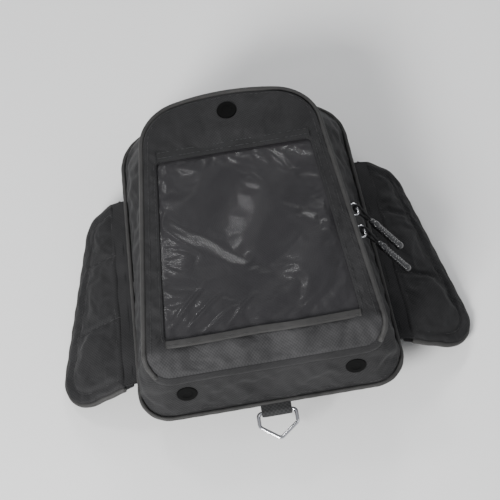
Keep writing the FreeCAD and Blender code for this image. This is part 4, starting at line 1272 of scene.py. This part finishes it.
def wing_pad(side):
    """The padded shell: a patch over the wing's outline, thin along its seams and hem, then blown up."""
    origin, axes, local = on_wing(side, "_wing_shell")
    ring = walk_round(local[:, :2], 600)
    low, high = local[:, 2].min(), local[:, 2].max()
    fold = local[:, 0].min()
    ends = ((fold, ring[:, 1].min()), (ring[:, 0].max(), ring[:, 1].min() + 4 * MM),
            (ring[ring[:, 1] > 0.04][:, 0].max(), ring[:, 1].max() - 12 * MM), (fold, ring[:, 1].max()))
    flat = coons(ring, ends, WING_ROWS, WING_COLUMNS)
    free, across = wing_lines(ring, wing_seams(side, origin, axes), fold)
    edge_line = respaced(ring, 2400, True)
    free_line = respaced(free, 900, False)
    edge_gap = polyline_gap(flat, edge_line)
    seam_gap = polyline_gap(flat, np.vstack([free, free_line, *across]))
    rise = (1 - np.exp(-seam_gap / (2.6 * MM))) * (1 - np.exp(-edge_gap / (2.5 * MM)))
    top = low + 1.8 * MM + (high - low - 1.2 * MM) * rise
    top = np.where(edge_gap < 0.4 * MM, low + 0.8 * MM, top)
    under = np.full(top.shape, low + 0.1 * MM)
    under[[0, -1]] = top[[0, -1]]
    over = np.dstack([flat, top])
    below = np.dstack([flat, under])[:, ::-1]
    grid = np.concatenate([over, below[:, 1:-1]], axis=1)
    points = origin + grid @ axes
    piece = close_poles(surface(side + "_wing_pad", points, False, True))
    places = (mesh_points(piece.data) - origin) @ axes.T
    held = polyline_gap(places[:, :2], np.vstack([free_line, *across])) < 1.7 * MM
    held |= polyline_gap(places[:, :2], edge_line) < 1.2 * MM
    held |= places[:, 2] < low + 0.6 * MM
    inflate(piece, held, 2.5, 0.05, 4 * MM)
    clear_magnets(piece, side, origin, axes)
    set_flat_uv(piece, origin, axes)
    smoother(piece)
    finish(piece, nylon, side + "_wing", side + "_wing_shell", slot="outer_nylon")
    return piece, free, across


wing_pads = {side: wing_pad(side) for side in ("left", "right")}

# %% [markdown]
# Under each pad lies the lining that touches the tank, and a folded tape binds the two together round the
# free edge. A strip of cloth carries the wing from the edge of the base.

# %% Wing linings, bindings and folds
def wing_lining(side):
    """A thin patch under the wing with a soft edge."""
    origin, axes, local = on_wing(side, "_wing_lining")
    ring = walk_round(local[:, :2], 400)
    low, high = local[:, 2].min(), local[:, 2].max()
    grid = pillow_grid(ring, low, high, 0.0, 0.5 * MM, 10, centre=ring.mean(axis=0))
    piece = close_poles(surface(side + "_wing_under", origin + grid @ axes, wrap_rows=True))
    set_flat_uv(piece, origin, axes)
    finish(piece, grip_cloth_uv, side + "_wing", side + "_wing_lining", slot="base_fabric")


def wing_binding(side):
    """The bound edge: an oval bead round the free edge, from the front of the fold to its rear."""
    origin, axes, local = on_wing(side, "_wing_shell")
    ring = walk_round(local[:, :2], 500)
    fold = local[:, 0].min()
    start = int(np.argmin(np.where(ring[:, 1] < 0, np.abs(ring[:, 0] - fold - 2 * MM), 1)))
    ring = np.roll(ring, -start, axis=0)
    ring = ring[: int(np.argmax((ring[:, 0] < fold + 2 * MM) & (ring[:, 1] > 0)))]
    ring = respaced(ring, 260, False)
    middle = local[:, 2].min() + 0.3 * MM + 0.3 * MM * np.sin(np.arange(len(ring)) * 0.35)
    path = origin + np.column_stack([ring, middle]) @ axes
    piece = tube(side + "_wing_edge", path, 1.9 * MM, flatten=1.25, up=axes[2], sides=14)
    finish(piece, piping_cloth, side + "_wing", side + "_wing_binding", slot="piping_nylon")


def bowed(start, knee, end, count):
    """A curve from start to end that bends toward a knee: squares of the two shares and their product."""
    share = np.linspace(0, 1, count)[:, None]
    return (1 - share) ** 2 * start + 2 * share * (1 - share) * knee + share ** 2 * end


def wing_fold(side):
    """The cloth hinge: a thin strip from the base's edge to the pad, soft along its length."""
    origin, axes = wing_frame(side)
    local = (vertices(side + "_fold_strip") - origin) @ axes[1]
    flat_out = unit(axes[0] * np.array([1, 1, 0]))
    start = origin - flat_out * 6 * MM
    end = origin + axes[0] * 11 * MM + axes[2] * 2.2 * MM
    knee = origin + axes[2] * 0.5 * MM
    middle = bowed(start, knee, end, 14)
    along = np.linspace(local.min() + 1 * MM, local.max() - 1 * MM, 110)
    section = np.concatenate([middle + axes[2] * 0.6 * MM, middle[::-1] - axes[2] * 0.6 * MM])
    ripple = 0.35 * MM * np.sin(along / (6 * MM) + 1.5 * np.sin(along / (17 * MM)))
    grid = section + along[:, None, None] * axes[1] + ripple[:, None, None] * axes[2]
    piece = surface(side + "_wing_fold", grid, False, True, cap=True)
    finish(piece, nylon, None, side + "_fold_strip", slot="outer_nylon")
    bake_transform(piece)


for side in ("left", "right"):
    wing_lining(side)
    wing_binding(side)
    wing_fold(side)

# %% [markdown]
# ## The crease behind the lid
# The lid has no hinge but its own cloth. A strip sewn inside both parts crosses the gap.

# %% Lid crease
def lid_crease():
    """A strip from inside the rear wall, past the pivot, to inside the lid's rear band."""
    low, high = corners("lid_fold_strip")
    x = np.linspace(low[0], high[0], 100)
    start = np.array([0, low[1] + 1.2 * MM, low[2] - MM])
    end = np.array([0, low[1] + 2.2 * MM, high[2] + 4 * MM])
    knee = np.array([0, low[1] + 0.3 * MM, fold_axis[2]])
    middle = bowed(start, knee, end, 12)
    inward = np.array([0, 1, 0])
    section = np.concatenate([middle, middle[::-1] + inward * MM])
    grid = section + x[:, None, None] * np.array([1, 0, 0])
    piece = surface("lid_crease_cloth", grid, False, True, cap=True)
    finish(piece, nylon, None, "lid_fold_strip", slot="outer_nylon")
    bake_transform(piece)


lid_crease()

# %% [markdown]
# ## Under the lid
# A sheet across the lid makes the phone pocket; its mouth has a flap held shut by hook and loop. The sheet
# is held all round, so it is stretched and nearly flat, with a little sag in the middle.

# %% Pocket sheet and flap
pocket_top = corners("pocket_back")[1][2]
flap_low, flap_high = corners("pocket_flap")
loop_low, loop_high = corners("loop_strip")
pocket_ring = walk_round(vertices("pocket_back")[:, :2], ROUND)
MOUTH_REAR = 67 * MM
MOUTH_FRONT = 81 * MM
mouth = np.array([[loop_low[0], MOUTH_REAR], [loop_high[0], MOUTH_REAR],
                  [loop_high[0], MOUTH_FRONT], [loop_low[0], MOUTH_FRONT]])


def pocket_sheet():
    """A ring of cloth between the lid's outline and the pocket's mouth, with a shallow sag and fine
    ripples."""
    middle = mouth.mean(axis=0)
    mouth_ring = seen_from(middle, mouth, pocket_ring, 1)
    across = np.linspace(0, 1, 44)[None, :, None] ** 0.9
    flat = pocket_ring[:, None] * (1 - across) + mouth_ring[:, None] * across
    sag = np.sin(math.pi * across[..., 0]) * (1 - smooth(flat[..., 1], 20 * MM, 60 * MM))
    ripple = 0.12 * MM * np.sin(flat[..., 0] / (6 * MM) + flat[..., 1] / (9 * MM))
    z = pocket_top - 0.8 * MM * sag + ripple * sag
    over = np.dstack([flat, z])
    under = np.dstack([flat, z - 0.9 * MM])[:, ::-1]
    piece = surface("pocket_sheet", np.concatenate([over, under], axis=1), True, True)
    finish(piece, lining, "lid", "pocket_back", slot="lining_fabric")


pocket_sheet()
v, u = np.meshgrid(np.linspace(0, 1, 30), np.linspace(-1, 1, 70), indexing="ij")
half = 0.5 * (flap_high[0] - flap_low[0])
corner = 1 - 0.06 * smooth(v, 0.75, 1.0) ** 2
flap_points = np.dstack([half * u * corner, flap_low[1] + (flap_high[1] - flap_low[1]) * v,
                         flap_high[2] + 0.15 * MM * np.sin(u * 9) * np.sin(math.pi * v)])
flap = surface("flap_cloth", flap_points)
face_toward(flap, (0, 0, 1))
thicken(flap, flap_high[2] - flap_low[2] - 0.1 * MM)
finish(flap, lining, "pocket_flap", "pocket_flap", slot="lining_fabric")

# %% [markdown]
# ## Webbing for the ring
# A short loop of ribbed webbing is caught in the base seam and carries the ring. It is a flat strap bent
# round the ring's wire.

# %% Webbing loop
web_low, web_high = corners("ring_webbing")
ring_pivot = np.array(joint("tether_ring_swing")["pos_m"])
turn = np.linspace(0.5 * math.pi, 1.5 * math.pi, 24)
reach = 0.5 * (web_high[2] - web_low[2]) - 0.75 * MM
bend = ring_pivot + reach * np.stack([np.zeros(len(turn)), np.cos(turn), np.sin(turn)], axis=1)
upper_ply = np.array([[0, web_high[1] - 0.2 * MM, ring_pivot[2] + 0.75 * reach]])
lower_ply = np.array([[0, web_high[1] - 0.2 * MM, ring_pivot[2] - 0.75 * reach]])
path = respaced(np.vstack([upper_ply, bend, lower_ply]), 60, False)
top = np.cross((1, 0, 0), unit(np.gradient(path, axis=0)))
webbing = strap("ring_web_loop", path, (1, 0, 0), top, web_high[0] - web_low[0], 1.4 * MM, columns=20)
finish(webbing, web_cloth, "bag", "ring_webbing", slot="webbing")

# %% [markdown]
# ## Stitches
# Thread shows as short bright dashes that sink at both ends. They are modelled, a small capsule for each,
# because a painted dash has no shadow under it. Every line of stitches is laid on its cloth by looking down
# onto the finished surface, and one mesh holds a whole seam.

# %% Stitch lines
def stitches(name, line, normal, body, pitch=3.4 * MM, radius=0.27 * MM, slot="outer_nylon"):
    """Capsules along a line: for each, six rings of five points whose radius swells in the middle and whose
    middle stands off the cloth."""
    length = np.linalg.norm(np.diff(line, axis=0), axis=1).sum()
    count = max(int(length / pitch), 2)
    both = respaced(np.hstack([line, normal]), count, False)
    place, up = both[:, :3], both[:, 3:]
    up = unit(up)
    along = np.gradient(place, axis=0)
    along = unit(along - up * (along * up).sum(axis=1, keepdims=True))
    side = np.cross(along, up)
    share = np.array([-1, -0.9, -0.45, 0.45, 0.9, 1.0])
    thick = np.array([0.05, 0.6, 1.0, 1.0, 0.6, 0.05])
    stand = np.array([-0.7, -0.3, 0.55, 0.55, -0.3, -0.7])
    turn = np.linspace(0, 2 * math.pi, 5, endpoint=False)
    middle = (place[:, None] + along[:, None] * (share * 0.36 * pitch)[:, None]
              + up[:, None] * (stand * radius)[:, None])
    spoke = np.cos(turn)[:, None] * side[:, None] + np.sin(turn)[:, None] * up[:, None]
    points = middle[:, :, None] + (thick * radius)[:, None, None] * spoke[:, None]
    sides, _ = grid_faces(len(share), len(turn), False, True)
    first = np.arange(len(turn))
    ends = np.stack([first[::-1], first + (len(share) - 1) * len(turn)])
    shift = len(share) * len(turn) * np.arange(count)[:, None, None]
    faces = (sides + shift).reshape(-1, 4).tolist() + (ends + shift).reshape(-1, len(turn)).tolist()
    piece = new_piece(name, points.reshape(-1, 3), faces, place.mean(axis=0))
    finish(piece, thread, body, slot=slot)


def laid_on(piece, line, toward, lift=0.1 * MM):
    """Drops a line onto a piece along a direction: the point hit and the cloth's own normal there."""
    graph = bpy.context.evaluated_depsgraph_get()
    tree = BVHTree.FromObject(piece, graph)
    line = np.asarray(line, float)
    toward = np.broadcast_to(np.asarray(toward, float), line.shape)
    found, normals = [], []
    for point, way in zip(line, toward):
        hit, normal, _, _ = tree.ray_cast(Vector(point - way * 25 * MM), Vector(way), 60 * MM)
        if hit is not None:
            found.append(hit)
            normals.append(normal)
    normals = np.array(normals)
    return np.array(found) + normals * lift, normals


def at_height(flat, height):
    """A flat line lifted to one height."""
    return np.column_stack([flat, np.full(len(flat), height)])


DOWN = np.array([0, 0, -1.0])
OVER_LID = 60 * MM
lid_keep = lid_ring[:, 1] > panel_low[1] - 2 * MM
edge_line = at_height(lid_ring - outward(lid_ring) * 4.2 * MM, OVER_LID)[lid_keep]
stitches("lid_edge_stitches", *laid_on(lid_skin, edge_line, DOWN), "lid")
hem_ring = opening_ring + outward(opening_ring) * 2.4 * MM
between = (opening_ring[:, 1] < front_seam[0][1] - 2 * MM) & (opening_ring[:, 1] > rear_seam[1][1] + 2 * MM)
for name, way in (("left", -1), ("right", 1)):
    line = hem_ring[between & (way * opening_ring[:, 0] > 60 * MM)]
    line = at_height(line[np.argsort(line[:, 1])], OVER_LID)
    stitches("window_%s_stitches" % name, *laid_on(lid_skin, line, DOWN), "lid")


def cross_line(node, offset, margin=3 * MM):
    """A line across the lid, at an offset from the middle of a strip."""
    low, high = corners(node)
    x = np.linspace(low[0] + margin, high[0] - margin, 80)
    return at_height(np.column_stack([x, np.full(80, 0.5 * (low[1] + high[1]) + offset)]), OVER_LID)


for name, strip, node, offset in (
    ("front_seam_stitches_a", front_strip, "window_front_binding", 2.6 * MM),
    ("front_seam_stitches_b", front_strip, "window_front_binding", -2.6 * MM),
    ("rear_seam_stitches", rear_strip, "window_rear_binding", -1.4 * MM),
):
    stitches(name, *laid_on(strip, cross_line(node, offset), DOWN), "lid")

foot_line = at_height(foot_ring, wall_low[2] + 6.5 * MM)
inward = at_height(-outward(foot_ring), 0)
line, normal = laid_on(wall, np.vstack([foot_line, foot_line[:1]]), np.vstack([inward, inward[:1]]))
stitches("foot_stitches", line, normal, "bag")

for side in ("left", "right"):
    origin, axes = wing_frame(side)
    pad, free, across = wing_pads[side]
    for number, flat in enumerate([respaced(free, 300, False), *across]):
        line = origin + at_height(flat, 0) @ axes
        line, normal = laid_on(pad, line, -axes[2])
        stitches("%s_wing_stitches_%d" % (side, number), line, normal, side + "_wing")

x = np.linspace(-9, 9, 20) * MM
line = at_height(np.column_stack([x, np.full(len(x), web_high[1] - 2.2 * MM)]), 30 * MM)
stitches("web_stitches", *laid_on(webbing, line, DOWN), "bag", pitch=2.6 * MM, slot="webbing")

# %% [markdown]
# ## Floor, light and camera
# The bag stands on a plain pale floor. One broad light from behind the rider's left shoulder models the
# folds, a wide weak one on the right keeps that wing from going black, one from ahead draws the edge of the
# lid and a small one makes glints on the vinyl. A pale surround fills the rest. The camera looks down from
# behind with the long lens that suits an object of this size.

# %% Floor
low, high = cad_bounds
floor_z = low[2] - 1.5 * MM
bpy.ops.mesh.primitive_plane_add(size=12.0, location=(0, 0, floor_z))
floor = bpy.context.object
floor.name = "floor"
floor_material, tree, shader = new_material("pale_floor")
place = coordinates(tree, "Object")
cloud = noise(tree, place, 3.0, 3.0)
wire(tree, blend_colours(tree, cloud, (0.78, 0.78, 0.77), (0.84, 0.84, 0.83)), shader.inputs["Base Color"])
wire(tree, stretch(tree, noise(tree, place, 60.0, 3.0), 0.3, 0.7, 0.55, 0.75), shader.inputs["Roughness"])
floor.data.materials.append(floor_material)

# %% Light
middle = 0.5 * (np.array(low) + np.array(high))


def soft_light(name, azimuth, elevation, distance, size, power):
    """A square area light aimed at the bag. Azimuth 0 is behind the bag and 90 is to the rider's right."""
    turn, rise = math.radians(azimuth), math.radians(elevation)
    way = Vector((math.sin(turn) * math.cos(rise), -math.cos(turn) * math.cos(rise), math.sin(rise)))
    data = bpy.data.lights.new(name, "AREA")
    data.shape = "SQUARE"
    data.size = size
    data.energy = power
    lamp = bpy.data.objects.new(name, data)
    lamp.location = Vector(middle) + way * distance
    lamp.rotation_euler = way.to_track_quat("Z", "Y").to_euler()
    bpy.context.scene.collection.objects.link(lamp)


soft_light("key", -34, 35, 1.6, 0.5, 44)
soft_light("fill", 75, 40, 2.0, 1.2, 5)
soft_light("front", 165, 34, 1.8, 0.45, 9)
soft_light("glint", -150, 55, 1.8, 0.3, 5)
world = bpy.data.worlds.new("studio")
world.use_nodes = True
world.node_tree.nodes["Background"].inputs[0].default_value = (0.93, 0.95, 1.0, 1.0)
world.node_tree.nodes["Background"].inputs[1].default_value = 0.45
bpy.context.scene.world = world

# %% Camera
ELEVATION = math.radians(60.4)
AZIMUTH = math.radians(0.2)
ROLL = math.radians(9.7)
DISTANCE = 1.40
AIM_LIFT = 12 * MM
back = np.array([math.sin(AZIMUTH) * math.cos(ELEVATION), -math.cos(AZIMUTH) * math.cos(ELEVATION),
                 math.sin(ELEVATION)])
right = np.array([math.cos(AZIMUTH), math.sin(AZIMUTH), 0.0])
up = np.cross(back, right)
turned_right = right * math.cos(ROLL) - up * math.sin(ROLL)
turned_up = up * math.cos(ROLL) + right * math.sin(ROLL)
camera_data = bpy.data.cameras.new("camera")
camera_data.lens = 125
camera_data.sensor_width = 36
camera = bpy.data.objects.new("camera", camera_data)
bpy.context.scene.collection.objects.link(camera)
aim = middle + np.array([0, 0, AIM_LIFT])
placed = np.eye(4)
placed[:3] = np.column_stack([turned_right, turned_up, back, aim + back * DISTANCE])
camera.matrix_world = Matrix(placed.tolist())
bpy.context.scene.camera = camera
